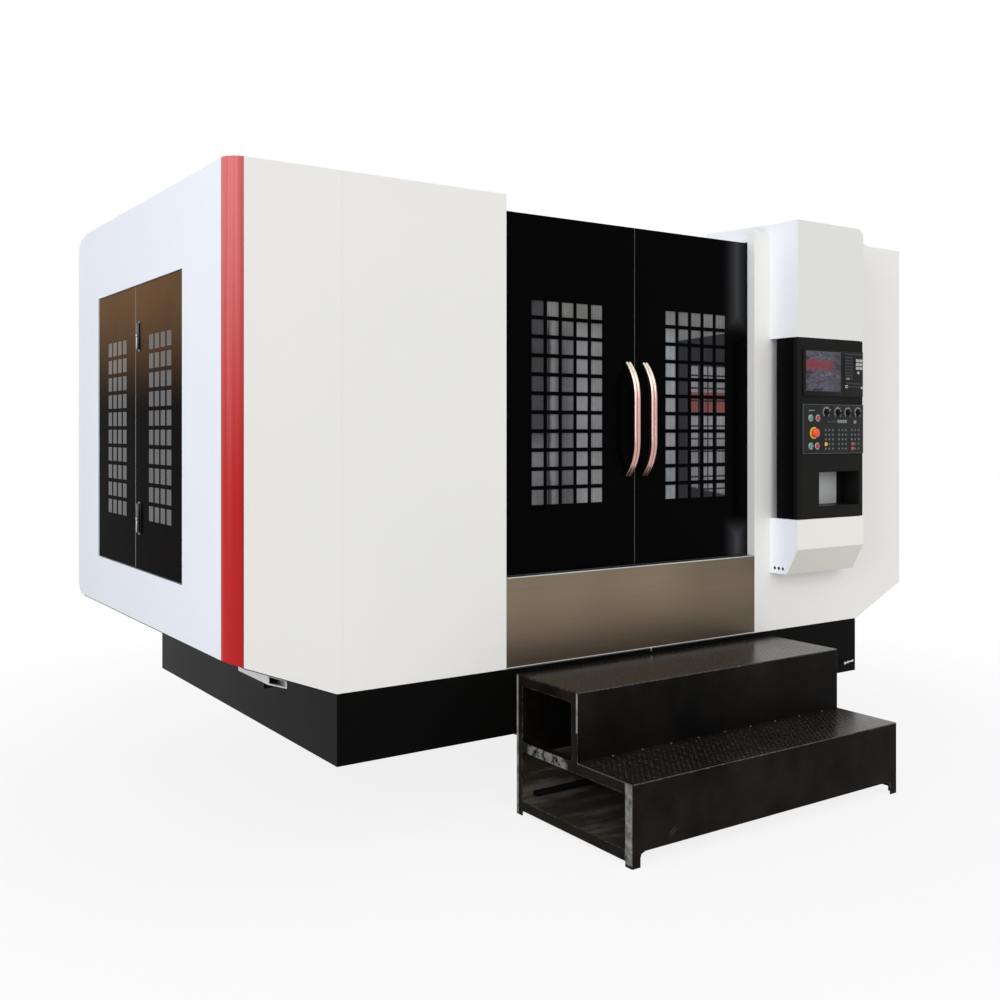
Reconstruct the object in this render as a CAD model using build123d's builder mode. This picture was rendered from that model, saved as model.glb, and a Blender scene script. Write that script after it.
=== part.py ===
from build123d import *

import math
import os

os.makedirs("parts", exist_ok=True)

# A large vertical machining centre in a full sheet-metal enclosure.
# Millimetres, +Z up, front towards -Y, origin at the middle of the floor
# rectangle that the machine covers.

# Enclosure
enclosure_width = 3794
enclosure_depth = 2150
panel_top = 2586
sheet = 3
panel_fold = 25
panel_gap = 3
wall_bottom = 774
skirt_top = 608
skirt_bottom = 333
skirt_depth = 2210
skirt_inset_left = 425
skirt_inset_right = 372
column_radius = 62
seam_offset = 446
rear_wall_offset = 2040

# Front door opening and its two sliding leaves
opening_left_offset = 1195
opening_width = 1469
opening_bottom = 988
door_top = 2529
door_recess = 50
door_thickness = 40
door_overlap = 25
leaf_gap = 4
seam_from_opening = 742
door_travel = 640
window_size = 65
window_pitch = 81
window_row_pitch = 81.5
door_columns = 5
door_rows = 11
door_window_offset = 383.5
door_window_middle = 1722
glass = 6
handle_offset = 50
handle_height = 528
handle_middle = 1654
handle_standoff = 60
handle_width = 34
handle_depth = 30

# Side door opening in the left wall and its two hinged leaves
side_opening_front = 503
side_opening_width = 1262
side_opening_bottom = 995
side_opening_top = 2239
side_split = 644
side_leaf_recess = 4
side_leaf_thickness = 30
side_leaf_clearance = 5
side_columns = 4
side_rows = 10
side_window_middle = 1614
side_front_window = 301
side_rear_window = 300
side_hinge_depth = 12
latch_reach = 18

# Operator console beside the doors
pod_offset = 2775
pod_width = 492
pod_depth = 177
pod_top = 2624
console_top = 2056
console_bottom = 1168
console_air = 43
console_clearance = 3
console_pivot_offset = 85
lower_housing_bend = 1023
lower_housing_bottom = 896
lower_housing_nose = 106
housing_wall = 3
duct_length = 450
pocket_depth = 112

# Steps in front of the machine
step_left_offset = 1247
step_width = 1526
step_reach = 744
step_tread = 327
lower_step_height = 310
upper_step_height = 583
step_angle = 40
step_plate = 4
step_panel_lift = 60

# Casting sizes of the machine inside
travel_x = 1300
travel_y = 700
travel_z_down = 450
travel_z_up = 250
spindle_offset = 850
throat = 740
foot_height = 200
bed_top = 700
bed_width = 860
bed_rear_width = 1100
rail_width = 45
rail_height = 38
carriage_height = 60
rail_clearance = 0.4
runner_length = 120
runner_width = 86
rail_gauge_y = 660
rail_gauge_x = 420
rail_gauge_z = 520
saddle_height = 130
saddle_overrun = 850
table_length = 1400
table_width = 700
table_height = 130
slot_count = 5
slot_pitch = 125
nose_height = 1680
column_width = 760
column_top = 2620
screw_radius = 20
shaft_clearance = 0.1
motor_size = 130
cabinet_depth = 450
cabinet_width = 1100
cabinet_bottom = 620
cabinet_top = 2400
cabinet_right_inset = 144
cabinet_door_thickness = 25
cabinet_handle_reach = 25

# Positions that follow from the sizes above
saddle_length = travel_x + saddle_overrun
rear_reach = rear_wall_offset + sheet + cabinet_depth + cabinet_door_thickness + cabinet_handle_reach
x_left = (latch_reach - enclosure_width) / 2
x_right = x_left + enclosure_width
y_front = (step_reach - rear_reach) / 2
y_rear = y_front + enclosure_depth
opening_left = x_left + opening_left_offset
opening_right = opening_left + opening_width
seam_x = opening_left + seam_from_opening
door_front = y_front + door_recess
door_back = door_front + door_thickness
pod_left = x_left + pod_offset
pod_right = pod_left + pod_width
pod_front = y_front - pod_depth
skirt_left = x_left + skirt_inset_left
skirt_right = x_right - skirt_inset_right
axis_x = seam_x
axis_y = y_front + spindle_offset
column_front = axis_y + throat
saddle_bottom = bed_top + carriage_height
saddle_top = saddle_bottom + saddle_height
table_bottom = saddle_top + carriage_height
table_top = table_bottom + table_height
screw_y_height = bed_top - 12
screw_x_height = saddle_top - 15
screw_z_depth = column_front + 50


def block(x0, x1, y0, y1, z0, z1, mode=Mode.ADD):
    """A rectangular bar, or a cut of that shape, between two corners."""
    with Locations(((x0 + x1) / 2, (y0 + y1) / 2, (z0 + z1) / 2)):
        Box(x1 - x0, y1 - y0, z1 - z0, mode=mode)


def prism(plane, points, depth, mode=Mode.ADD):
    """A closed outline drawn on a plane and pushed out along its normal."""
    with BuildSketch(plane) as outline:
        with BuildLine():
            Polyline(*points, close=True)
        make_face()
    extrude(outline.sketch, amount=depth, mode=mode)


def facing_front(y):
    """A plane whose drawing is seen from the front; its normal points to the rear."""
    return Plane(origin=(0, y, 0), x_dir=(-1, 0, 0), z_dir=(0, 1, 0))


def mirrored(points):
    """Front-view points (x, z) as facing_front draws them."""
    return [(-x, z) for x, z in points]


def facing_side(x):
    """A plane for (y, z) outlines; its normal points to the right."""
    return Plane(origin=(x, 0, 0), x_dir=(0, 1, 0), z_dir=(1, 0, 0))


def runners(plane, across, along, gauge):
    """Four guide blocks on a mounting plane, each with the channel that straddles its rail.

    Local x runs across the rails, local y along them and the normal towards the rails.
    """
    with BuildSketch(plane) as blocks:
        with Locations(*[(a * gauge / 2, b) for a in (-1, 1) for b in along]):
            Rectangle(across, runner_length)
    extrude(blocks.sketch, amount=carriage_height - 8)
    with BuildSketch(plane.offset(carriage_height - rail_height - rail_clearance)) as channels:
        with Locations(*[(a * gauge / 2, b) for a in (-1, 1) for b in along]):
            Rectangle(rail_width + 2 * rail_clearance, runner_length + 2)
    extrude(channels.sketch, amount=carriage_height, mode=Mode.SUBTRACT)


# Main castings

bed_half = bed_width / 2
bed_front = y_front + 170
bed_rear = y_front + 2185
column_seat = saddle_bottom
trough_half = 80
with BuildPart() as bed:
    prism(
        facing_side(axis_x - bed_rear_width / 2),
        [
            (bed_front, bed_top),
            (column_front - 30, bed_top),
            (column_front - 30, column_seat),
            (bed_rear, column_seat),
            (bed_rear, foot_height),
            (bed_front, foot_height),
        ],
        bed_rear_width,
    )
    for side in (-1, 1):
        inner = axis_x + side * bed_half
        outer = axis_x + side * bed_rear_width
        block(min(inner, outer), max(inner, outer), bed_front - 10, column_front - 90,
              foot_height - 10, bed_top + 10, mode=Mode.SUBTRACT)
    block(axis_x - trough_half, axis_x + trough_half, bed_front - 10, column_front - 75,
          bed_top - 95, bed_top + 10, mode=Mode.SUBTRACT)
    for front, rear in ((bed_front + 90, bed_front + 160), (column_front - 150, column_front - 75)):
        block(axis_x - trough_half, axis_x + trough_half, front, rear, bed_top - 95, bed_top)
    with BuildSketch(Plane.XY.offset(foot_height - 1)) as pockets:
        with Locations((axis_x, bed_front + 760)):
            with GridLocations(330, 620, 2, 2):
                Rectangle(270, 540)
        with Locations((axis_x, bed_rear - 300)):
            with GridLocations(480, 1, 2, 1):
                Rectangle(400, 480)
    extrude(pockets.sketch, amount=bed_top - 190 - foot_height, mode=Mode.SUBTRACT)
    with BuildSketch(Plane.YZ.offset(axis_x)) as side_windows:
        with Locations((bed_front + 450, 430), (bed_front + 1070, 430)):
            Circle(75)
    extrude(side_windows.sketch, amount=bed_width, both=True, mode=Mode.SUBTRACT)
    with BuildSketch(Plane.XZ.offset(-bed_front)) as screw_bore:
        with Locations((axis_x, screw_y_height)):
            Circle(screw_radius + shaft_clearance)
    extrude(screw_bore.sketch, amount=-(column_front - 80 - bed_front), mode=Mode.SUBTRACT)
bed.part.label = "bed"
export_step(bed.part, "parts/bed.step")

column_half = column_width / 2
column_depth = 590
column_head_depth = 420
channel_half = 110
channel_depth = 120
shelf = 60
with BuildPart() as column:
    prism(
        facing_side(axis_x - column_half),
        [
            (column_front, column_seat),
            (column_front, column_top),
            (column_front + column_head_depth, column_top),
            (column_front + column_depth, column_seat + 900),
            (column_front + column_depth, column_seat),
        ],
        column_width,
    )
    block(axis_x - column_half - 120, axis_x + column_half + 120, column_front, column_front + column_depth,
          column_seat, column_seat + 60)
    for side in (-1, 1):
        with BuildSketch(Plane(origin=(axis_x, column_front + 280, 0), x_dir=(side, 0, 0), z_dir=(0, -side, 0))) as web:
            with BuildLine():
                Polyline(
                    (column_half, column_seat + 60),
                    (column_half + 110, column_seat + 60),
                    (column_half, column_seat + 420),
                    close=True,
                )
            make_face()
        extrude(web.sketch, amount=-side * 35)
    block(axis_x - channel_half, axis_x + channel_half, column_front - 1, column_front + channel_depth,
          1250, column_top + 1, mode=Mode.SUBTRACT)
    for low in (1250, column_top - shelf):
        block(axis_x - channel_half, axis_x + channel_half, column_front, column_front + channel_depth,
              low, low + shelf)
    for low, high in ((900, 1250), (1290, 1640), (1680, 2030), (2070, 2420)):
        block(axis_x - column_half + 45, axis_x + column_half - 45, column_front + channel_depth + 60,
              column_front + column_depth + 10, low, high, mode=Mode.SUBTRACT)
    for z in (1465, 1855):
        with BuildSketch(Plane.YZ.offset(axis_x)) as core_holes:
            with Locations((column_front + 350, z)):
                Circle(90)
        extrude(core_holes.sketch, amount=column_width, both=True, mode=Mode.SUBTRACT)
    with BuildSketch(Plane.XY.offset(1240)) as screw_bore:
        with Locations((axis_x, screw_z_depth)):
            Circle(screw_radius + shaft_clearance)
    extrude(screw_bore.sketch, amount=column_top, mode=Mode.SUBTRACT)
column.part.label = "column"
export_step(column.part, "parts/column.step")

rail_y_front = axis_y - travel_y / 2 - 340
rail_y_rear = axis_y + travel_y / 2 + 340
rail_z_low = nose_height + 100 - travel_z_down
rail_z_high = nose_height + 670 + travel_z_up
with BuildPart() as linear_rails:
    with BuildSketch(Plane.XZ.offset(-rail_y_front)) as bed_rails:
        for side in (-1, 1):
            with Locations((axis_x + side * rail_gauge_y / 2, bed_top + rail_height / 2)):
                Rectangle(rail_width, rail_height)
                with Locations((-rail_width / 2, 2), (rail_width / 2, 2)):
                    Circle(6, mode=Mode.SUBTRACT)
    extrude(bed_rails.sketch, amount=-(rail_y_rear - rail_y_front))
    with BuildSketch(Plane.XY.offset(rail_z_low)) as column_rails:
        for side in (-1, 1):
            with Locations((axis_x + side * rail_gauge_z / 2, column_front - rail_height / 2)):
                Rectangle(rail_width, rail_height)
                with Locations((-rail_width / 2, -2), (rail_width / 2, -2)):
                    Circle(6, mode=Mode.SUBTRACT)
    extrude(column_rails.sketch, amount=rail_z_high - rail_z_low)
linear_rails.part.label = "linear_rails"
export_step(linear_rails.part, "parts/linear_rails.step")

foot_radius = 60
foot_stem = 16
with BuildPart() as levelling_feet:
    feet = [(axis_x + side * (bed_half - 65), bed_front + row)
            for row in (80, 930, 1380) for side in (-1, 1)]
    feet += [(axis_x + side * 470, bed_rear - 100) for side in (-1, 1)]
    with BuildSketch(Plane.XY) as pads:
        with Locations(*feet):
            Circle(foot_radius)
    extrude(pads.sketch, amount=45, taper=12)
    with BuildSketch(Plane.XY.offset(45)) as stems:
        with Locations(*feet):
            Circle(foot_stem)
    extrude(stems.sketch, amount=foot_height - 45)
    with BuildSketch(Plane.XY.offset(foot_height - 50)) as nuts:
        with Locations(*feet):
            RegularPolygon(30, 6)
    extrude(nuts.sketch, amount=50)
levelling_feet.part.label = "levelling_feet"
export_step(levelling_feet.part, "parts/levelling_feet.step")

# Saddle, table and their screws

saddle_half = saddle_length / 2
saddle_depth = 540
saddle_trough = 60
with BuildPart() as saddle:
    prism(
        facing_front(axis_y - saddle_depth / 2),
        mirrored([
            (axis_x - saddle_half, saddle_top),
            (axis_x + saddle_half, saddle_top),
            (axis_x + saddle_half, saddle_top - 60),
            (axis_x + 540, saddle_bottom),
            (axis_x - 540, saddle_bottom),
            (axis_x - saddle_half, saddle_top - 60),
        ]),
        saddle_depth,
    )
    block(axis_x - 400, axis_x + 400, axis_y - 320, axis_y + 320, saddle_bottom, saddle_bottom + 90)
    block(axis_x - saddle_half - 1, axis_x + saddle_half + 1, axis_y - saddle_trough, axis_y + saddle_trough,
          saddle_top - 70, saddle_top + 1, mode=Mode.SUBTRACT)
    for low, high in ((-saddle_half, -saddle_half + 60), (saddle_half - 60, saddle_half)):
        block(axis_x + low, axis_x + high, axis_y - saddle_trough, axis_y + saddle_trough,
              saddle_top - 70, saddle_top + 25)
    runners(
        Plane(origin=(axis_x, axis_y, saddle_bottom), x_dir=(1, 0, 0), z_dir=(0, 0, -1)),
        runner_width, (-250, 250), rail_gauge_y,
    )
    block(axis_x - 60, axis_x + 60, axis_y - 60, axis_y + 60, screw_y_height - 45, saddle_bottom)
    with BuildSketch(Plane.XZ.offset(100 - axis_y)) as nut_bore:
        with Locations((axis_x, screw_y_height)):
            Circle(screw_radius + shaft_clearance)
    extrude(nut_bore.sketch, amount=-200, mode=Mode.SUBTRACT)
    with BuildSketch(Plane.YZ.offset(axis_x - saddle_half - 1)) as screw_bore:
        with Locations((axis_y, screw_x_height)):
            Circle(screw_radius + shaft_clearance)
    extrude(screw_bore.sketch, amount=saddle_length + 2, mode=Mode.SUBTRACT)
saddle.part.label = "saddle"
export_step(saddle.part, "parts/saddle.step")

with BuildPart() as x_rails:
    with BuildSketch(Plane.YZ.offset(axis_x - saddle_half + 5)) as rail_section:
        for side in (-1, 1):
            with Locations((axis_y + side * rail_gauge_x / 2, saddle_top + rail_height / 2)):
                Rectangle(rail_width, rail_height)
                with Locations((-rail_width / 2, 2), (rail_width / 2, 2)):
                    Circle(6, mode=Mode.SUBTRACT)
    extrude(rail_section.sketch, amount=saddle_length - 10)
x_rails.part.label = "x_rails"
export_step(x_rails.part, "parts/x_rails.step")

slot_neck = 18
slot_neck_depth = 22
slot_tee = 32
slot_tee_depth = 14
table_edge = 55
table_step = 30
with BuildPart() as table:
    half = table_width / 2
    prism(
        facing_side(axis_x - table_length / 2),
        [
            (axis_y - half, table_top),
            (axis_y + half, table_top),
            (axis_y + half, table_top - table_edge),
            (axis_y + half - table_step, table_top - table_edge - 15),
            (axis_y + half - table_step, table_bottom),
            (axis_y - half + table_step, table_bottom),
            (axis_y - half + table_step, table_top - table_edge - 15),
            (axis_y - half, table_top - table_edge),
        ],
        table_length,
    )
    with BuildSketch(Plane.YZ.offset(axis_x - table_length / 2 - 1)) as slots:
        with Locations((axis_y, table_top - slot_neck_depth / 2)):
            with GridLocations(slot_pitch, 1, slot_count, 1):
                Rectangle(slot_neck, slot_neck_depth + 1)
        with Locations((axis_y, table_top - slot_neck_depth - slot_tee_depth / 2)):
            with GridLocations(slot_pitch, 1, slot_count, 1):
                Rectangle(slot_tee, slot_tee_depth)
    extrude(slots.sketch, amount=table_length + 2, mode=Mode.SUBTRACT)
    block(axis_x - table_length / 2 + 60, axis_x + table_length / 2 - 60, axis_y - 120, axis_y + 120,
          table_bottom - 1, table_bottom + 45, mode=Mode.SUBTRACT)
    runners(
        Plane(origin=(axis_x, axis_y, table_bottom), x_dir=(0, 1, 0), z_dir=(0, 0, -1)),
        runner_width, (-350, 350), rail_gauge_x,
    )
    block(axis_x - 60, axis_x + 60, axis_y - 45, axis_y + 45, screw_x_height - 42, table_bottom + 50)
    with BuildSketch(Plane.YZ.offset(axis_x - 100)) as nut_bore:
        with Locations((axis_y, screw_x_height)):
            Circle(screw_radius + shaft_clearance)
    extrude(nut_bore.sketch, amount=200, mode=Mode.SUBTRACT)
table.part.label = "table"
export_step(table.part, "parts/table.step")

lock_nut = 30


def ball_screw(plane, length, nut_at):
    """A plain screw shaft along the plane's normal, with the hexagonal lock nut of its bearing."""
    with BuildSketch(plane) as shaft:
        Circle(screw_radius)
    extrude(shaft.sketch, amount=length)
    with BuildSketch(plane.offset(nut_at)) as collar:
        RegularPolygon(lock_nut, 6)
    extrude(collar.sketch, amount=14)


with BuildPart() as y_screw:
    start = bed_front + 92
    ball_screw(
        Plane(origin=(axis_x, start, screw_y_height), x_dir=(1, 0, 0), z_dir=(0, 1, 0)),
        column_front - 82 - start, 69,
    )
y_screw.part.label = "y_screw"
export_step(y_screw.part, "parts/y_screw.step")

with BuildPart() as x_screw:
    ball_screw(
        Plane(origin=(axis_x - saddle_half - 10, axis_y, screw_x_height), x_dir=(0, 1, 0), z_dir=(1, 0, 0)),
        saddle_length + 8, 71,
    )
x_screw.part.label = "x_screw"
export_step(x_screw.part, "parts/x_screw.step")

with BuildPart() as z_screw:
    ball_screw(
        Plane(origin=(axis_x, screw_z_depth, 1252), x_dir=(1, 0, 0), z_dir=(0, 0, 1)),
        column_top - 1254, column_top - shelf - 1252 - 16,
    )
z_screw.part.label = "z_screw"
export_step(z_screw.part, "parts/z_screw.step")


def servo_motor(plane):
    """A square servo motor that stands on the plane and points its encoder along the normal."""
    for offset, length, size in ((0, 16, motor_size), (16, 140, motor_size - 12), (156, 44, motor_size - 30)):
        with BuildSketch(plane.offset(offset)) as section:
            RectangleRounded(size, size, 12)
        extrude(section.sketch, amount=length)


with BuildPart() as axis_motors:
    servo_motor(Plane(origin=(axis_x, bed_front + 90, screw_y_height), x_dir=(1, 0, 0), z_dir=(0, -1, 0)))
    servo_motor(Plane(origin=(axis_x, screw_z_depth, column_top), x_dir=(1, 0, 0), z_dir=(0, 0, 1)))
axis_motors.part.label = "axis_motors"
export_step(axis_motors.part, "parts/axis_motors.step")

with BuildPart() as x_motor:
    servo_motor(Plane(origin=(axis_x + saddle_half, axis_y, screw_x_height), x_dir=(0, 1, 0), z_dir=(1, 0, 0)))
x_motor.part.label = "x_motor"
export_step(x_motor.part, "parts/x_motor.step")

# Spindle head

head_half = 190
head_front = axis_y - 150
head_back = column_front - carriage_height
carriage_low = nose_height + 120
carriage_high = nose_height + 680
head_top = nose_height + 760
quill_radius = 60
with BuildPart() as head:
    prism(
        facing_side(axis_x - head_half),
        [
            (head_front, head_top - 60),
            (head_front + 60, head_top),
            (head_back - 200, head_top),
            (head_back, carriage_high),
            (head_back, carriage_low),
            (head_back - 120, carriage_low),
            (axis_y + 130, nose_height + 200),
            (axis_y - 110, nose_height + 200),
            (head_front, nose_height + 260),
        ],
        2 * head_half,
    )
    block(axis_x - 315, axis_x + 315, head_back - 70, head_back, carriage_low, carriage_high)
    with BuildSketch(Plane.XY.offset(nose_height + 12)) as flange:
        with Locations((axis_x, axis_y)):
            Circle(122)
    extrude(flange.sketch, amount=40)
    with BuildSketch(Plane.XY.offset(nose_height + 52)) as cartridge:
        with Locations((axis_x, axis_y)):
            Circle(110)
    extrude(cartridge.sketch, amount=160)
    runners(
        Plane(origin=(axis_x, head_back, 0), x_dir=(1, 0, 0), z_dir=(0, 1, 0)),
        runner_width, (-carriage_low - 80, -carriage_high + 80), rail_gauge_z,
    )
    block(axis_x - 55, axis_x + 55, head_back - 1, screw_z_depth + 45, nose_height + 340, nose_height + 460)
    with BuildSketch(Plane.XY.offset(nose_height + 300)) as nut_bore:
        with Locations((axis_x, screw_z_depth)):
            Circle(screw_radius + shaft_clearance)
    extrude(nut_bore.sketch, amount=200, mode=Mode.SUBTRACT)
    with BuildSketch(Plane.XY.offset(nose_height)) as spindle_bore:
        with Locations((axis_x, axis_y)):
            Circle(quill_radius + shaft_clearance)
    extrude(spindle_bore.sketch, amount=420, mode=Mode.SUBTRACT)
head.part.label = "head"
export_step(head.part, "parts/head.step")

motor_half = 110
with BuildPart() as spindle_motor:
    with BuildSketch(Plane.XY.offset(head_top)) as motor_flange:
        with Locations((axis_x, axis_y + 10)):
            RectangleRounded(2 * motor_half, 2 * motor_half, 20)
    extrude(motor_flange.sketch, amount=20)
    with BuildSketch(Plane.XY.offset(head_top + 20)) as motor_body:
        with Locations((axis_x, axis_y + 10)):
            RectangleRounded(2 * motor_half - 20, 2 * motor_half - 20, 30)
    extrude(motor_body.sketch, amount=170)
    with BuildSketch(Plane.XY.offset(head_top + 190)) as fan_cowl:
        with Locations((axis_x, axis_y + 10)):
            Circle(motor_half - 12)
    extrude(fan_cowl.sketch, amount=45)
    block(axis_x + motor_half - 10, axis_x + motor_half + 30, axis_y - 40, axis_y + 60,
          head_top + 60, head_top + 140)
spindle_motor.part.label = "spindle_motor"
export_step(spindle_motor.part, "parts/spindle_motor.step")

taper_mouth = 34.9
taper_throat = 20
taper_depth = 102
with BuildPart() as spindle:
    with BuildSketch(Plane.XZ.offset(-axis_y)) as half_section:
        with BuildLine():
            Polyline(
                (axis_x + taper_mouth, nose_height),
                (axis_x + quill_radius + 4.2, nose_height),
                (axis_x + quill_radius + 4.2, nose_height + 11.6),
                (axis_x + quill_radius, nose_height + 11.6),
                (axis_x + quill_radius, nose_height + 400),
                (axis_x, nose_height + 400),
                (axis_x, nose_height + taper_depth + 60),
                (axis_x + taper_throat, nose_height + taper_depth + 60),
                (axis_x + taper_throat, nose_height + taper_depth),
                close=True,
            )
        make_face()
    revolve(half_section.sketch, axis=Axis((axis_x, axis_y, 0), (0, 0, 1)))
    for side in (-1, 1):
        near = axis_x + side * 38
        far = axis_x + side * 58
        block(min(near, far), max(near, far), axis_y - 12.7, axis_y + 12.7, nose_height - 8, nose_height)
spindle.part.label = "spindle"
export_step(spindle.part, "parts/spindle.step")

# Tool changer on the left of the column

changer_x = axis_x - 325
arm_height = 1850
arm_thickness = 40
arm_reach = 330
arm_half = 30
cam_bottom = arm_height + arm_thickness + 40
disc_x = axis_x - 600
disc_height = 2250
disc_radius = 400
pot_circle = 345
pot_count = 24
pot_radius = 38
pot_length = 105
hub_radius = 45
with BuildPart() as changer_housing:
    prism(
        facing_side(axis_x - column_half - 100),
        [
            (axis_y - 110, cam_bottom),
            (axis_y + 110, cam_bottom),
            (axis_y + 200, 2100),
            (column_front + 330, 2060),
            (column_front + 330, 2300),
            (axis_y + 110, 2340),
            (axis_y - 110, 2340),
        ],
        100,
    )
    block(axis_x - column_half - 1, axis_x - head_half - 20, axis_y - 110, axis_y + 110, cam_bottom, 2200)
    with BuildSketch(Plane.XY.offset(2200)) as cam_motor:
        with Locations((changer_x, axis_y)):
            Circle(60)
    extrude(cam_motor.sketch, amount=130)
    with BuildSketch(Plane.XY.offset(cam_bottom - 1)) as arm_bore:
        with Locations((changer_x, axis_y)):
            Circle(28 + shaft_clearance)
    extrude(arm_bore.sketch, amount=81, mode=Mode.SUBTRACT)
    with BuildSketch(Plane.YZ.offset(axis_x - column_half - 101)) as hub_bore:
        with Locations((axis_y, disc_height)):
            Circle(hub_radius + shaft_clearance)
    extrude(hub_bore.sketch, amount=81, mode=Mode.SUBTRACT)
changer_housing.part.label = "changer_housing"
export_step(changer_housing.part, "parts/changer_housing.step")

with BuildPart() as change_arm:
    with BuildSketch(Plane.XY.offset(arm_height)) as arm_outline:
        with Locations((changer_x, axis_y)):
            Rectangle(2 * arm_half, 2 * arm_reach)
            Circle(62)
            for side in (-1, 1):
                with Locations((0, side * arm_reach)):
                    Circle(52)
            for side in (-1, 1):
                with Locations((0, side * arm_reach)):
                    Circle(33, mode=Mode.SUBTRACT)
                    with Locations((-side * 40, 0)):
                        Rectangle(80, 56, mode=Mode.SUBTRACT)
    extrude(arm_outline.sketch, amount=arm_thickness)
    with BuildSketch(Plane.XY.offset(arm_height + arm_thickness)) as arm_shaft:
        with Locations((changer_x, axis_y)):
            Circle(28)
    extrude(arm_shaft.sketch, amount=110)
change_arm.part.label = "change_arm"
export_step(change_arm.part, "parts/change_arm.step")

with BuildPart() as magazine:
    disc_plane = Plane(origin=(disc_x, axis_y, disc_height), x_dir=(0, 1, 0), z_dir=(1, 0, 0))
    with BuildSketch(disc_plane) as disc:
        Circle(disc_radius)
        with PolarLocations(195, 6):
            Circle(62, mode=Mode.SUBTRACT)
    extrude(disc.sketch, amount=30)
    with BuildSketch(disc_plane.offset(-pot_length)) as pots:
        with PolarLocations(pot_circle, pot_count):
            RegularPolygon(pot_radius, 8)
    extrude(pots.sketch, amount=pot_length)
    with BuildSketch(disc_plane.offset(-pot_length - 1)) as pot_bores:
        with PolarLocations(pot_circle, pot_count):
            RegularPolygon(24, 8)
    extrude(pot_bores.sketch, amount=pot_length - 15, mode=Mode.SUBTRACT)
    with BuildSketch(disc_plane.offset(-25)) as hub:
        Circle(75)
    extrude(hub.sketch, amount=25)
    with BuildSketch(disc_plane.offset(30)) as hub_shaft:
        Circle(hub_radius)
    extrude(hub_shaft.sketch, amount=axis_x - column_half - 100 - disc_x - 30 + 78)
magazine.part.label = "magazine"
export_step(magazine.part, "parts/magazine.step")

# Enclosure panels

flare_flat = 35
pan_fall = 0.092
pan_drop = 3.2
wall_hem = 25
roof_height = 2560
reveal = 47
beam_front = 130
beam_depth = 60
beam_bottom = 2450
beam_top = 2530
with BuildPart() as base_skirt:
    skirt_high = skirt_top - pan_drop
    block(skirt_left, skirt_right, y_front, y_front + sheet, skirt_bottom, skirt_high)
    block(skirt_left, skirt_right, y_front, y_front + wall_hem, skirt_bottom, skirt_bottom + sheet)
    for side, edge in ((-1, skirt_left), (1, skirt_right)):
        outer = [(0, sheet), (0, skirt_depth - 60), (18, skirt_depth - 18), (60, skirt_depth),
                 (120, skirt_depth)]
        inner = [(120, skirt_depth - sheet), (61.5, skirt_depth - sheet), (20.3, skirt_depth - 20.3),
                 (sheet, skirt_depth - 61.5), (sheet, sheet)]
        prism(
            Plane.XY.offset(skirt_bottom),
            [(edge - side * x, y_front + y) for x, y in outer + inner],
            skirt_high - skirt_bottom,
        )
base_skirt.part.label = "base_skirt"
export_step(base_skirt.part, "parts/base_skirt.step")


def wall_sheet(x):
    """A side wall seen from the side: swept rear top corner, small rear bottom corner."""
    front = y_front + column_radius + 4
    with BuildSketch(facing_side(x)) as outline:
        with BuildLine():
            Polyline(
                (y_rear, panel_top - 80),
                (y_rear, wall_bottom + 60),
                (y_rear - 18, wall_bottom + 18),
                (y_rear - 60, wall_bottom),
                (front, wall_bottom),
                (front, panel_top),
                (y_rear - 220, panel_top),
            )
            Bezier((y_rear - 220, panel_top), (y_rear, panel_top), (y_rear, panel_top - 80))
        make_face()
    extrude(outline.sketch, amount=sheet)


side_front = y_front + side_opening_front
side_rear = side_front + side_opening_width
side_pins = (side_front + 13, side_rear - 13)
with BuildPart() as left_wall:
    wall_sheet(x_left)
    block(x_left, x_left + wall_hem, y_front + 66, y_rear - 220, panel_top - sheet, panel_top)
    block(x_left, x_left + wall_hem, y_rear - sheet, y_rear, wall_bottom + 60, panel_top - 80)
    block(x_left, x_left + side_leaf_thickness + 4, side_front - sheet, side_rear + sheet,
          side_opening_bottom - sheet, side_opening_top + sheet)
    block(x_left - 1, x_left + side_leaf_thickness + 5, side_front, side_rear,
          side_opening_bottom, side_opening_top, mode=Mode.SUBTRACT)
    with BuildSketch(Plane.XY.offset(side_opening_bottom - 10)) as pin_holes:
        with Locations(*[(x_left + side_hinge_depth, y) for y in side_pins]):
            Circle(6 + shaft_clearance)
    extrude(pin_holes.sketch, amount=side_opening_top - side_opening_bottom + 20, mode=Mode.SUBTRACT)
left_wall.part.label = "left_wall"
export_step(left_wall.part, "parts/left_wall.step")

with BuildPart() as right_wall:
    wall_sheet(x_right - sheet)
    block(x_right - sheet, x_right, y_front + sheet, y_front + 66, wall_bottom, panel_top)
    block(x_right - wall_hem, x_right, y_front + 66, y_rear - 220, panel_top - sheet, panel_top)
    block(x_right - wall_hem, x_right, y_rear - sheet, y_rear, wall_bottom + 60, panel_top - 80)
right_wall.part.label = "right_wall"
export_step(right_wall.part, "parts/right_wall.step")

rear_wall = y_front + rear_wall_offset
with BuildPart() as rear_walls:
    for side, wall, skirt in ((-1, x_left + sheet, skirt_left), (1, x_right - sheet, skirt_right)):
        prism(
            facing_front(rear_wall),
            mirrored([
                (wall, roof_height - sheet),
                (wall, wall_bottom - 2 * pan_drop),
                (skirt, skirt_top - pan_drop),
                (skirt - side * flare_flat, skirt_top - pan_drop),
                (axis_x + side * bed_rear_width / 2, 500),
                (axis_x + side * bed_rear_width / 2, column_seat),
                (axis_x + side * (column_half + 120), column_seat),
                (axis_x + side * (column_half + 120), column_seat + 60),
                (axis_x + side * column_half, column_seat + 60),
                (axis_x + side * column_half, roof_height - sheet),
            ]),
            sheet,
        )
rear_walls.part.label = "rear_walls"
export_step(rear_walls.part, "parts/rear_walls.step")


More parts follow.
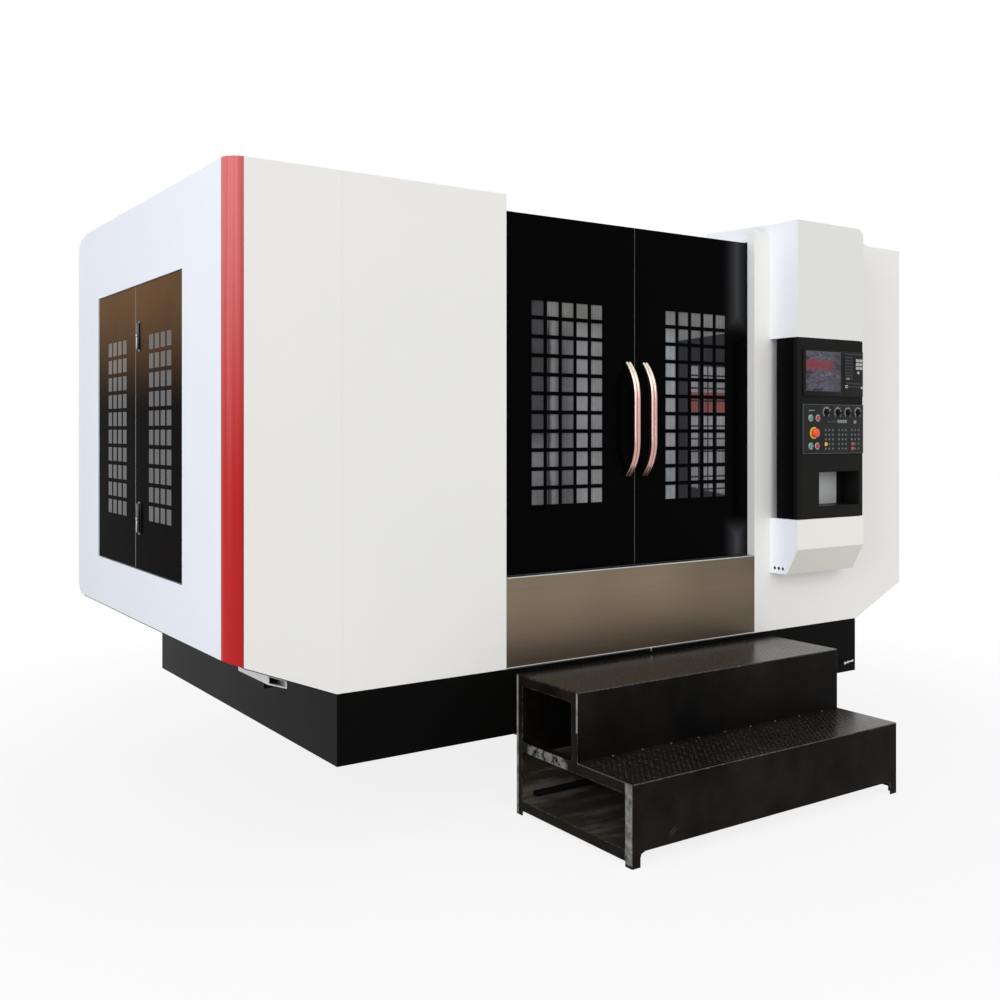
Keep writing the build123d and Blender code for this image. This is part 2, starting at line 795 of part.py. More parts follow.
def pan_outline(side, inner):
    """Front view of a side pan: lip in the wall, flare to the skirt, then a fall to the inner edge."""
    wall = x_left if side < 0 else x_right
    skirt = skirt_left if side < 0 else skirt_right
    flat = skirt - side * flare_flat
    low = skirt_top - pan_fall * abs(flat - inner)
    slope = (wall_bottom - skirt_top) / abs(skirt - wall)
    return mirrored([
        (wall - side * sheet, wall_bottom + wall_hem),
        (wall - side * 2 * sheet, wall_bottom + wall_hem),
        (wall - side * 2 * sheet, wall_bottom - 2 * sheet * slope),
        (skirt, skirt_top),
        (flat, skirt_top),
        (inner, low),
        (inner, low - pan_drop),
        (flat, skirt_top - pan_drop),
        (skirt, skirt_top - pan_drop),
        (wall, wall_bottom - pan_drop),
        (wall, wall_bottom),
        (wall - side * sheet, wall_bottom),
    ])


pan_step = column_front - 92
with BuildPart() as side_pans:
    for side in (-1, 1):
        prism(facing_front(y_front + sheet), pan_outline(side, axis_x + side * bed_half),
              pan_step - y_front - sheet)
        prism(facing_front(pan_step), pan_outline(side, axis_x + side * bed_rear_width / 2),
              rear_wall - pan_step)
    block(x_left - 1, x_left + column_radius - 1, y_front, y_front + 66, 700, 850, mode=Mode.SUBTRACT)
    block(x_left + 168, x_left + 222, y_front + 80, y_front + 330, 648, 686)
side_pans.part.label = "side_pans"
export_step(side_pans.part, "parts/side_pans.step")


def folded_panel(outline, inner):
    """A front panel: a sheet on the front plane with its edges folded back."""
    prism(facing_front(y_front), mirrored(outline), panel_fold)
    prism(facing_front(y_front + sheet), mirrored(inner), panel_fold, mode=Mode.SUBTRACT)


flare_slope = (wall_bottom - skirt_top) / skirt_inset_left
with BuildPart() as front_left_panels:
    start = x_left + column_radius - 1
    seam = x_left + seam_offset
    low = wall_bottom - flare_slope * (column_radius - 1)
    folded_panel(
        [(start, panel_top), (seam - panel_gap / 2, panel_top), (seam - panel_gap / 2, skirt_top),
         (skirt_left, skirt_top), (start, low)],
        [(start + sheet, panel_top - sheet), (seam - panel_gap / 2 - sheet, panel_top - sheet),
         (seam - panel_gap / 2 - sheet, skirt_top - 50), (skirt_left, skirt_top - 50),
         (start + sheet, low - 50)],
    )
    folded_panel(
        [(seam + panel_gap / 2, panel_top), (opening_left, panel_top), (opening_left, skirt_top),
         (seam + panel_gap / 2, skirt_top)],
        [(seam + panel_gap / 2 + sheet, panel_top - sheet), (opening_left - sheet, panel_top - sheet),
         (opening_left - sheet, skirt_top - 50), (seam + panel_gap / 2 + sheet, skirt_top - 50)],
    )
    block(opening_left - sheet, opening_left, y_front, y_front + reveal, opening_bottom, panel_top)
front_left_panels.part.label = "front_left_panels"
export_step(front_left_panels.part, "parts/front_left_panels.step")

with BuildPart() as front_right_panel:
    folded_panel(
        [(opening_right, panel_top), (x_right, panel_top), (x_right, wall_bottom),
         (skirt_right, skirt_top), (opening_right, skirt_top)],
        [(opening_right + sheet, panel_top - sheet), (x_right + 5, panel_top - sheet),
         (x_right + 5, wall_bottom - 60), (skirt_right, skirt_top - 60),
         (opening_right + sheet, skirt_top - 60)],
    )
    block(x_right - sheet - 1, x_right + 1, y_front + sheet, y_front + panel_fold + 1, panel_top - 5,
          panel_top + 1, mode=Mode.SUBTRACT)
    block(opening_right, opening_right + sheet, y_front, y_front + reveal, opening_bottom, panel_top)
front_right_panel.part.label = "front_right_panel"
export_step(front_right_panel.part, "parts/front_right_panel.step")

with BuildPart() as corner_column:
    inner_radius = column_radius - 1 - sheet
    column_low = wall_bottom - flare_slope * (column_radius - 1)
    with BuildSketch(Plane.XY.offset(column_low)) as quarter:
        with Locations((x_left + column_radius - 1, y_front + column_radius - 1)):
            Circle(column_radius - 1)
            Circle(inner_radius, mode=Mode.SUBTRACT)
        with Locations((x_left + column_radius - 1 + 50, y_front + 100)):
            Rectangle(100, 300, mode=Mode.SUBTRACT)
        with Locations((x_left + 100, y_front + column_radius - 1 + 50)):
            Rectangle(400, 100, mode=Mode.SUBTRACT)
        with Locations((x_left + sheet / 2, y_front + 63.5)):
            Rectangle(sheet, 5)
    extrude(quarter.sketch, amount=panel_top - column_low)
    prism(
        facing_front(y_front - 1),
        mirrored([(x_left - 1, wall_bottom), (x_left, wall_bottom), (x_left + column_radius - 1, column_low),
                  (x_left + column_radius, column_low - 5), (x_left - 1, column_low - 5)]),
        column_radius + 10,
        mode=Mode.SUBTRACT,
    )
    with BuildSketch(Plane.XY.offset(panel_top - sheet)) as cap:
        with Locations((x_left + column_radius - 1, y_front + column_radius - 1)):
            Circle(column_radius - 1)
        with Locations((x_left + column_radius - 1 + 50, y_front + 100)):
            Rectangle(100, 300, mode=Mode.SUBTRACT)
        with Locations((x_left + 100, y_front + column_radius - 1 + 50)):
            Rectangle(400, 100, mode=Mode.SUBTRACT)
    extrude(cap.sketch, amount=sheet)
corner_column.part.label = "corner_column"
export_step(corner_column.part, "parts/corner_column.step")

with BuildPart() as apron:
    block(opening_left, opening_right, y_front, y_front + reveal, skirt_high, opening_bottom)
    block(opening_left + sheet, opening_right - sheet, y_front + sheet, y_front + reveal + 1,
          skirt_high - 1, opening_bottom - sheet, mode=Mode.SUBTRACT)
    block(opening_left - 1, opening_left + sheet + 1, y_front + panel_fold, y_front + reveal + 1,
          skirt_high - 1, opening_bottom - 60, mode=Mode.SUBTRACT)
    block(opening_right - sheet - 1, opening_right + 1, y_front + panel_fold, y_front + reveal + 1,
          skirt_high - 1, opening_bottom - 60, mode=Mode.SUBTRACT)
apron.part.label = "apron"
export_step(apron.part, "parts/apron.step")

roof_front = y_front + 187
roof_break = y_front + 420
roof_left = x_left + 1050
roof_right = x_left + 2350
with BuildPart() as roof_panels:
    block(x_left + sheet, x_right - sheet, roof_front, roof_break, roof_height - sheet, roof_height)
    block(x_left + sheet, x_right - sheet, roof_front, roof_front + sheet, beam_top, roof_height)
    for near, far in ((x_left + sheet, roof_left), (roof_right, x_right - sheet)):
        block(near, far, roof_break, rear_wall + sheet, roof_height - sheet, roof_height)
    for near, far in ((roof_left - sheet, roof_left), (roof_right, roof_right + sheet)):
        block(near, far, roof_break, rear_wall, roof_height - 40, roof_height)
roof_panels.part.label = "roof_panels"
export_step(roof_panels.part, "parts/roof_panels.step")

with BuildPart() as top_beam:
    block(x_left + sheet, x_right - sheet, y_front + beam_front, y_front + beam_front + beam_depth,
          beam_bottom, beam_top)
    block(x_left, x_right, y_front + beam_front + 4, y_front + beam_front + beam_depth - 4,
          beam_bottom + 4, beam_top - 4, mode=Mode.SUBTRACT)
top_beam.part.label = "top_beam"
export_step(top_beam.part, "parts/top_beam.step")

rail_end = door_travel + 30
roller_radius = 18
roller_height = 2518.3
guide_low = 960
with BuildPart() as door_rails:
    low = roller_height - roller_radius - 0.3
    block(opening_left - rail_end, opening_right + rail_end, y_front + 98, y_front + beam_front,
          low - 20, low)
    block(x_left + column_radius + 5, x_right - sheet, y_front + reveal, y_front + 97,
          guide_low, opening_bottom)
    block(x_left, x_right, y_front + 66, y_front + 78, opening_bottom - 14, opening_bottom + 1,
          mode=Mode.SUBTRACT)
door_rails.part.label = "door_rails"
export_step(door_rails.part, "parts/door_rails.step")

duct_rise = 16
with BuildPart() as duct_cover:
    rear = y_front + duct_length
    prism(
        facing_side(pod_left),
        [(y_front, panel_top), (roof_front, panel_top), (roof_front, roof_height), (rear, roof_height),
         (rear, pod_top + duct_rise), (y_front + 365, pod_top + duct_rise), (y_front, pod_top)],
        pod_width - 15,
    )
    prism(
        facing_side(pod_left + housing_wall),
        [(y_front - 1, panel_top - 40), (rear - housing_wall, panel_top - 40),
         (rear - housing_wall, pod_top + duct_rise - housing_wall),
         (y_front + 365, pod_top + duct_rise - housing_wall), (y_front - 1, pod_top - housing_wall)],
        pod_width - 15 - 2 * housing_wall,
        mode=Mode.SUBTRACT,
    )
    prism(
        facing_front(y_front),
        mirrored([
            (pod_right - 17, panel_top), (pod_right + 24, panel_top), (pod_right + 12, panel_top + 4),
            (pod_right + 3, panel_top + 14), (pod_right - 5, panel_top + 26), (pod_right - 17, panel_top + 32),
        ]),
        roof_front - y_front,
    )
duct_cover.part.label = "duct_cover"
export_step(duct_cover.part, "parts/duct_cover.step")

# Sliding front doors

leaf_bottom = opening_bottom + 4
leaf_plate = 4
pane_margin = 20
glass_half_width = (door_columns - 1) / 2 * window_pitch + window_size / 2 + pane_margin
glass_half_height = (door_rows - 1) / 2 * window_row_pitch + window_size / 2 + pane_margin


def sliding_leaf(side):
    """One front leaf: a folded tray with its window grid, two hanger plates with rollers and a tongue."""
    near = seam_x + side * leaf_gap / 2
    far = opening_left - door_overlap if side < 0 else opening_right + door_overlap
    x0, x1 = min(near, far), max(near, far)
    block(x0, x1, door_front, door_back, leaf_bottom, door_top)
    block(x0 + sheet, x1 - sheet, door_front + leaf_plate, door_back + 1, leaf_bottom + sheet,
          door_top - sheet, mode=Mode.SUBTRACT)
    with BuildSketch(Plane.XZ.offset(-door_front)) as windows:
        with Locations((seam_x + side * door_window_offset, door_window_middle)):
            with GridLocations(window_pitch, window_row_pitch, door_columns, door_rows):
                Rectangle(window_size, window_size)
    extrude(windows.sketch, amount=-leaf_plate, mode=Mode.SUBTRACT)
    for hanger in (x0 + 90, x1 - 90):
        block(hanger - 45, hanger + 45, door_back - 10, door_back + 4, door_top - 60, roller_height + 10)
        with BuildSketch(Plane.XZ.offset(-door_back)) as roller:
            with Locations((hanger, roller_height)):
                Circle(roller_radius)
        extrude(roller.sketch, amount=-35)
    block(x0 + 20, x1 - 20, y_front + 68, y_front + 76, leaf_bottom - 12, leaf_bottom + 1)


def front_pane(side):
    """The glass behind the windows of one front leaf."""
    middle = seam_x + side * door_window_offset
    block(middle - glass_half_width, middle + glass_half_width, door_front + leaf_plate,
          door_front + leaf_plate + glass, door_window_middle - glass_half_height,
          door_window_middle + glass_half_height)


def bow_handle(side):
    """A bow handle: grooved bar parallel to the leaf, both ends curved back to it."""
    low = handle_middle - handle_height / 2
    high = handle_middle + handle_height / 2
    front = door_front - handle_standoff - handle_depth / 2
    back = front + handle_depth
    edge = seam_x + side * handle_offset - handle_width / 2
    with BuildSketch(facing_side(edge)) as bow:
        with BuildLine():
            Polyline(
                (door_front, low), (front + 45, low + 8), (front + 22, low + 30), (front + 7, low + 62),
                (front, low + 104), (front, high - 104), (front + 7, high - 62), (front + 22, high - 30),
                (front + 45, high - 8), (door_front, high), (door_front, high - 30), (back + 33, high - 36),
                (back + 19, high - 50), (back + 7, high - 76), (back, high - 112), (back, low + 112),
                (back + 7, low + 76), (back + 19, low + 50), (back + 33, low + 36), (door_front, low + 30),
                close=True,
            )
        make_face()
    extrude(bow.sketch, amount=handle_width)
    block(edge + handle_width / 2 - 4, edge + handle_width / 2 + 4, front - 1, front + 4,
          low + 110, high - 110, mode=Mode.SUBTRACT)


with BuildPart() as left_door:
    sliding_leaf(-1)
left_door.part.label = "left_door"
export_step(left_door.part, "parts/left_door.step")

with BuildPart() as left_door_glass:
    front_pane(-1)
left_door_glass.part.label = "left_door_glass"
export_step(left_door_glass.part, "parts/left_door_glass.step")

with BuildPart() as left_door_handle:
    bow_handle(-1)
left_door_handle.part.label = "left_door_handle"
export_step(left_door_handle.part, "parts/left_door_handle.step")

with BuildPart() as right_door:
    sliding_leaf(1)
right_door.part.label = "right_door"
export_step(right_door.part, "parts/right_door.step")

with BuildPart() as right_door_glass:
    front_pane(1)
right_door_glass.part.label = "right_door_glass"
export_step(right_door_glass.part, "parts/right_door_glass.step")

with BuildPart() as right_door_handle:
    bow_handle(1)
right_door_handle.part.label = "right_door_handle"
export_step(right_door_handle.part, "parts/right_door_handle.step")

# Hinged service doors in the left wall

side_leaf_x = x_left + side_leaf_recess
side_leaf_low = side_opening_bottom + side_leaf_clearance
side_leaf_high = side_opening_top - side_leaf_clearance
side_seam = side_front + side_split
side_glass_half_width = (side_columns - 1) / 2 * window_pitch + window_size / 2 + pane_margin
side_glass_half_height = (side_rows - 1) / 2 * window_pitch + window_size / 2 + pane_margin


def hinged_leaf(near, far, window_middle, pin):
    """One service leaf: a folded tray with its window grid and a pin at top and bottom."""
    block(side_leaf_x, side_leaf_x + side_leaf_thickness, near, far, side_leaf_low, side_leaf_high)
    block(side_leaf_x + leaf_plate, side_leaf_x + side_leaf_thickness + 1, near + sheet, far - sheet,
          side_leaf_low + sheet, side_leaf_high - sheet, mode=Mode.SUBTRACT)
    with BuildSketch(Plane.YZ.offset(side_leaf_x)) as windows:
        with Locations((window_middle, side_window_middle)):
            with GridLocations(window_pitch, window_pitch, side_columns, side_rows):
                Rectangle(window_size, window_size)
    extrude(windows.sketch, amount=leaf_plate, mode=Mode.SUBTRACT)
    for low in (side_opening_bottom - sheet, side_leaf_high - 20):
        with BuildSketch(Plane.XY.offset(low)) as hinge_pin:
            with Locations((x_left + side_hinge_depth, pin)):
                Circle(6)
        extrude(hinge_pin.sketch, amount=20 + side_leaf_clearance + sheet)


def side_pane(window_middle):
    """The glass behind the windows of one service leaf."""
    block(side_leaf_x + leaf_plate, side_leaf_x + leaf_plate + glass,
          window_middle - side_glass_half_width, window_middle + side_glass_half_width,
          side_window_middle - side_glass_half_height, side_window_middle + side_glass_half_height)


with BuildPart() as side_door_front:
    hinged_leaf(side_front + side_leaf_clearance, side_seam - leaf_gap / 2,
                side_front + side_front_window, side_pins[0])
side_door_front.part.label = "side_door_front"
export_step(side_door_front.part, "parts/side_door_front.step")

with BuildPart() as side_glass_front:
    side_pane(side_front + side_front_window)
side_glass_front.part.label = "side_glass_front"
export_step(side_glass_front.part, "parts/side_glass_front.step")

latch_y = side_seam - 61
with BuildPart() as side_door_latches:
    for low, high in ((1149, 1293), (1945, 2078)):
        block(x_left, side_leaf_x, latch_y - 15, latch_y + 15, low, high)
        block(x_left - latch_reach, x_left, latch_y - 12.5, latch_y + 12.5, low + 8, high - 8)
        block(x_left - latch_reach, x_left - latch_reach + 8, latch_y - 13, latch_y + 13,
              low + 50, high - 50, mode=Mode.SUBTRACT)
side_door_latches.part.label = "side_door_latches"
export_step(side_door_latches.part, "parts/side_door_latches.step")

with BuildPart() as side_door_rear:
    hinged_leaf(side_seam + leaf_gap / 2, side_rear - side_leaf_clearance,
                side_seam + side_rear_window, side_pins[1])
side_door_rear.part.label = "side_door_rear"
export_step(side_door_rear.part, "parts/side_door_rear.step")

with BuildPart() as side_glass_rear:
    side_pane(side_seam + side_rear_window)
side_glass_rear.part.label = "side_glass_rear"
export_step(side_glass_rear.part, "parts/side_glass_rear.step")

# Operator console between its two fixed housings

pivot_x = pod_left + console_pivot_offset
console_back = y_front - console_air
pivot_y = (pod_front + console_back) / 2
spigot = 25
panel_face = pod_front - 8
with BuildPart() as console_upper_housing:
    prism(
        facing_front(pod_front),
        mirrored([
            (pod_left, console_top), (pod_right, console_top), (pod_right, pod_top - 50),
            (pod_right - 6, pod_top - 24), (pod_right - 22, pod_top - 6), (pod_right - 45, pod_top),
            (pod_left, pod_top),
        ]),
        pod_depth,
    )
    prism(
        facing_front(pod_front + housing_wall),
        mirrored([
            (pod_left + 3, console_top + 3), (pod_right - 3, console_top + 3), (pod_right - 3, pod_top - 50),
            (pod_right - 9, pod_top - 26), (pod_right - 24, pod_top - 9), (pod_right - 45, pod_top - 3),
            (pod_left + 3, pod_top - 3),
        ]),
        pod_depth,
        mode=Mode.SUBTRACT,
    )
    with BuildSketch(Plane.XY.offset(console_top - console_clearance - 12)) as upper_spigot:
        with Locations((pivot_x, pivot_y)):
            Circle(spigot)
    extrude(upper_spigot.sketch, amount=12 + 2 * console_clearance)
console_upper_housing.part.label = "console_upper_housing"
export_step(console_upper_housing.part, "parts/console_upper_housing.step")

with BuildPart() as console_lower_housing:
    prism(
        facing_side(pod_left),
        [(y_front, console_bottom), (pod_front, console_bottom), (pod_front, lower_housing_bend),
         (y_front - lower_housing_nose, lower_housing_bottom), (y_front, lower_housing_bottom)],
        pod_width,
    )
    prism(
        facing_side(pod_left + housing_wall),
        [(y_front + 1, console_bottom - 3), (pod_front + 3, console_bottom - 3),
         (pod_front + 3, lower_housing_bend + 1), (y_front - lower_housing_nose + 2, lower_housing_bottom + 3),
         (y_front + 1, lower_housing_bottom + 3)],
        pod_width - 2 * housing_wall,
        mode=Mode.SUBTRACT,
    )
    with BuildSketch(Plane.XY.offset(console_bottom - housing_wall)) as lower_spigot:
        with Locations((pivot_x, pivot_y)):
            Circle(spigot)
    extrude(lower_spigot.sketch, amount=12 + 2 * console_clearance)
    with BuildSketch(Plane.YZ.offset(pod_left - 1)) as cable_entries:
        with Locations(*[(y_front - 82 + i * 26, lower_housing_bottom + 26) for i in range(3)]):
            Circle(8)
    extrude(cable_entries.sketch, amount=housing_wall + 2, mode=Mode.SUBTRACT)
console_lower_housing.part.label = "console_lower_housing"
export_step(console_lower_housing.part, "parts/console_lower_housing.step")

pocket_left = pod_left + 155
pocket_right = pod_left + 454
pocket_low = 1229
pocket_high = 1400
with BuildPart() as console_body:
    low = console_bottom + console_clearance
    high = console_top - console_clearance
    with BuildSketch(Plane.XY.offset(low)) as section:
        with BuildLine():
            Polyline(
                (pod_left, console_back), (pod_left, pod_front + 25), (pod_left + 7, pod_front + 7),
                (pod_left + 25, pod_front), (pod_right - 8, pod_front), (pod_right, pod_front + 8),
                (pod_right, console_back), close=True,
            )
        make_face()
    extrude(section.sketch, amount=high - low)
    with BuildSketch(Plane.XY.offset(low + housing_wall)) as hollow:
        with BuildLine():
            Polyline(
                (pod_left + 3, console_back - 3), (pod_left + 3, pod_front + 26),
                (pod_left + 9, pod_front + 9), (pod_left + 26, pod_front + 3),
                (pod_right - 9, pod_front + 3), (pod_right - 3, pod_front + 9),
                (pod_right - 3, console_back - 3), close=True,
            )
        make_face()
    extrude(hollow.sketch, amount=high - low - 2 * housing_wall, mode=Mode.SUBTRACT)
    block(pocket_left - 3, pocket_right + 3, pod_front + 1, pod_front + pocket_depth + 3,
          pocket_low - 3, pocket_high + 3)
    block(pocket_left, pocket_right, pod_front - 1, pod_front + pocket_depth,
          pocket_low, pocket_high, mode=Mode.SUBTRACT)
    with BuildSketch(Plane.XY.offset(low - 1)) as spigot_holes:
        with Locations((pivot_x, pivot_y)):
            Circle(spigot + shaft_clearance)
    extrude(spigot_holes.sketch, amount=high - low + 2, mode=Mode.SUBTRACT)
    with BuildSketch(Plane.XZ.offset(-console_back - 1)) as vents:
        with Locations((pod_left + pod_width / 2, console_top - 150)):
            with GridLocations(1, 22, 1, 6):
                Rectangle(260, 8)
    extrude(vents.sketch, amount=housing_wall + 2, mode=Mode.SUBTRACT)
console_body.part.label = "console_body"
export_step(console_body.part, "parts/console_body.step")


def disc(x, z, near, far, radius, mode=Mode.ADD):
    """A round boss, cap or bore square to the console front between two depths."""
    with BuildSketch(Plane(origin=(pod_left + x, near, z), x_dir=(1, 0, 0), z_dir=(0, -1, 0))) as round_face:
        Circle(radius)
    extrude(round_face.sketch, amount=near - far, mode=mode)


def keys(x, z, columns, rows, pitch_x, pitch_z, key, face, proud):
    """A block of square keys on a plate, centred at a place given from the pod's left edge."""
    with BuildSketch(Plane(origin=(pod_left + x, face, z), x_dir=(1, 0, 0), z_dir=(0, -1, 0))) as caps:
        with GridLocations(pitch_x, pitch_z, columns, rows):
            Rectangle(key, key * 0.8)
    extrude(caps.sketch, amount=proud)


display_low = 1771
display_high = 2000
with BuildPart() as display_unit:
    block(pod_left + 36, pod_left + 486, panel_face, pod_front, display_low, display_high)
    block(pod_left + 53, pod_left + 309, panel_face - 1, panel_face + 3, 1795, 1992, mode=Mode.SUBTRACT)
    keys(368, 1915, 4, 8, 14.5, 15, 11, panel_face, 2)
    keys(445, 1945, 3, 3, 16, 20, 13, panel_face, 2)
    keys(408, 1830, 9, 2, 15, 18, 10, panel_face, 2)
display_unit.part.label = "display_unit"
export_step(display_unit.part, "parts/display_unit.step")

stop_place = (107, 1590)
start_places = ((86, 1526), (129, 1526))
lamp_places = ((86, 1663), (136, 1663))
dial_places = ((199, 1693), (285, 1692), (361, 1692), (438, 1693))
button_stem = 7
with BuildPart() as operator_panel:
    block(pod_left + 28, pod_left + 489, panel_face, pod_front, 1488, 1731)
    for x in (220, 320, 420):
        keys(x, 1558, 3, 5, 26, 23, 17, panel_face, 3)
    keys(296, 1645, 4, 1, 20, 1, 17, panel_face, 3)
    keys(413, 1645, 1, 1, 1, 1, 20, panel_face, 4)
    disc(*stop_place, panel_face, panel_face - 2, 27)
    for place in lamp_places:
        disc(*place, panel_face, panel_face - 10, 11)
    for place in start_places:
        disc(*place, panel_face, panel_face - 3, 15)
    for place in start_places:
        disc(*place, panel_face - 4, pod_front, 11.3, mode=Mode.SUBTRACT)
    disc(*stop_place, panel_face - 3, pod_front, 12.2, mode=Mode.SUBTRACT)
    for place in dial_places:
        disc(*place, panel_face - 1, pod_front, 6.1, mode=Mode.SUBTRACT)
operator_panel.part.label = "operator_panel"
export_step(operator_panel.part, "parts/operator_panel.step")

with BuildPart() as e_stop:
    disc(*stop_place, panel_face + 3.5, panel_face - 8, 12)
    disc(*stop_place, panel_face - 7.5, panel_face - 14, 20)
    disc(*stop_place, panel_face - 14, panel_face - 24, 18)
e_stop.part.label = "e_stop"
export_step(e_stop.part, "parts/e_stop.step")

with BuildPart() as start_button:
    disc(*start_places[0], panel_face + 4, panel_face - 8, 11)
start_button.part.label = "start_button"
export_step(start_button.part, "parts/start_button.step")

with BuildPart() as stop_button:
    disc(*start_places[1], panel_face + 4, panel_face - 8, 11)
stop_button.part.label = "stop_button"
export_step(stop_button.part, "parts/stop_button.step")


def dial(place):
    """A selector knob: stem in the panel, skirt, grip and a raised pointer bar."""
    disc(*place, panel_face + button_stem, panel_face, 6)
    disc(*place, panel_face, panel_face - 5, 17)
    disc(*place, panel_face - 5, panel_face - 16, 12)
    x, z = place
    block(pod_left + x - 4, pod_left + x + 4, panel_face - 19, panel_face - 16, z - 11, z + 15)


with BuildPart() as dial_1:
    dial(dial_places[0])
dial_1.part.label = "dial_1"
export_step(dial_1.part, "parts/dial_1.step")

with BuildPart() as dial_2:
    dial(dial_places[1])
dial_2.part.label = "dial_2"
export_step(dial_2.part, "parts/dial_2.step")

with BuildPart() as dial_3:
    dial(dial_places[2])
dial_3.part.label = "dial_3"
export_step(dial_3.part, "parts/dial_3.step")

with BuildPart() as dial_4:
    dial(dial_places[3])
dial_4.part.label = "dial_4"
export_step(dial_4.part, "parts/dial_4.step")

# Two steps in front of the doors

step_left = x_left + step_left_offset
step_right = step_left + step_width
step_front = y_front - step_reach
step_break = step_front + step_tread
lower_frame = lower_step_height - step_plate
upper_frame = upper_step_height - step_plate


def angle_bar(corner, run, first, second):
    """An equal angle: a corner point, the run along the bar and the directions of its two legs."""
    for wide, thin in ((first, second), (second, first)):
        reach = [r + w * step_angle + t * step_plate for r, w, t in zip(run, wide, thin)]
        far = [c + d for c, d in zip(corner, reach)]
        limits = [value for pair in zip(corner, far) for value in sorted(pair)]
        block(*limits)


with BuildPart() as step_frame:
    for edge, inward in ((step_left, (1, 0, 0)), (step_right, (-1, 0, 0))):
        for y, low, height, turn in (
            (y_front, 0, upper_frame, (0, -1, 0)),
            (step_break, lower_frame - step_angle, upper_frame - lower_frame + step_angle, (0, 1, 0)),
            (step_front, 0, lower_frame, (0, 1, 0)),
        ):
            angle_bar((edge, y, low), (0, 0, height), inward, turn)
        angle_bar((edge, step_front, lower_frame), (0, step_reach, 0), inward, (0, 0, -1))
        angle_bar((edge, step_break, upper_frame), (0, step_reach - step_tread, 0), inward, (0, 0, -1))
        angle_bar((edge, step_front, step_panel_lift), (0, step_reach, 0), inward, (0, 0, -1))
        prism(
            facing_front(step_front),
            mirrored([(edge, step_panel_lift + 1), (edge + inward[0] * 75, step_panel_lift + 1),
                      (edge + inward[0] * 44, step_panel_lift - 12), (edge + inward[0] * 39, 30), (edge, 30)]),
            step_plate,
        )
    for y, z, turn in (
        (y_front, upper_frame, (0, -1, 0)),
        (step_front, lower_frame, (0, 1, 0)),
        (y_front, step_panel_lift, (0, -1, 0)),
    ):
        angle_bar((step_left, y, z), (step_width, 0, 0), turn, (0, 0, -1))
    for y in (step_front + step_tread / 2, step_break + (step_reach - step_tread) / 2):
        z = lower_frame if y < step_break else upper_frame
        angle_bar((step_left, y, z), (step_width, 0, 0), (0, 1, 0), (0, 0, -1))
    block(step_left, step_right, step_front, step_front + sheet, step_panel_lift, lower_frame)
    block(step_left, step_right, step_break, step_break + sheet, lower_frame - step_angle, upper_frame)
    block(step_left, step_right, y_front - sheet, y_front, step_panel_lift, upper_frame)
    block(step_left, step_right, step_front, y_front, step_panel_lift - step_plate, step_panel_lift)
step_frame.part.label = "step_frame"
export_step(step_frame.part, "parts/step_frame.step")

with BuildPart() as step_treads:
    block(step_left, step_right, step_front, step_break, lower_frame, lower_step_height)
    block(step_left, step_right, step_break, y_front, upper_frame, upper_step_height)
step_treads.part.label = "step_treads"
export_step(step_treads.part, "parts/step_treads.step")

# Electrical cabinet on the rear wall, and the coolant tank

cabinet_right = x_right - cabinet_right_inset
cabinet_left = cabinet_right - cabinet_width
cabinet_front = rear_wall + sheet
cabinet_rear = cabinet_front + cabinet_depth
hinge_x = cabinet_right + 10
hinge_y = cabinet_rear + 12
hinge_levels = (cabinet_bottom + 180, (cabinet_bottom + cabinet_top) / 2, cabinet_top - 220)
with BuildPart() as electrical_cabinet:
    block(cabinet_left, cabinet_right, cabinet_front, cabinet_rear, cabinet_bottom, cabinet_top)
    block(cabinet_left + 3, cabinet_right - 3, cabinet_front + 3, cabinet_rear + 1, cabinet_bottom + 3,
          cabinet_top - 3, mode=Mode.SUBTRACT)
    for edge in (cabinet_left, cabinet_right - 25):
        block(edge, edge + 25, cabinet_rear - 3, cabinet_rear, cabinet_bottom, cabinet_top)
    with BuildSketch(Plane.YZ.offset(cabinet_left - 1)) as louvres:
        with Locations((cabinet_front + cabinet_depth / 2, cabinet_top - 300)):
            with GridLocations(1, 30, 1, 8):
                Rectangle(260, 10)
    extrude(louvres.sketch, amount=5, mode=Mode.SUBTRACT)
    for z in hinge_levels:
        block(cabinet_right, cabinet_right + 6, cabinet_rear - 25, hinge_y, z, z + 40)
        with BuildSketch(Plane.XY.offset(z)) as knuckle:
            with Locations((hinge_x, hinge_y)):
                Circle(9)
        extrude(knuckle.sketch, amount=40)
    with BuildSketch(Plane.XY.offset(cabinet_bottom)) as knuckle_bore:
        with Locations((hinge_x, hinge_y)):
            Circle(5 + shaft_clearance)
    extrude(knuckle_bore.sketch, amount=cabinet_top - cabinet_bottom, mode=Mode.SUBTRACT)
electrical_cabinet.part.label = "electrical_cabinet"
export_step(electrical_cabinet.part, "parts/electrical_cabinet.step")

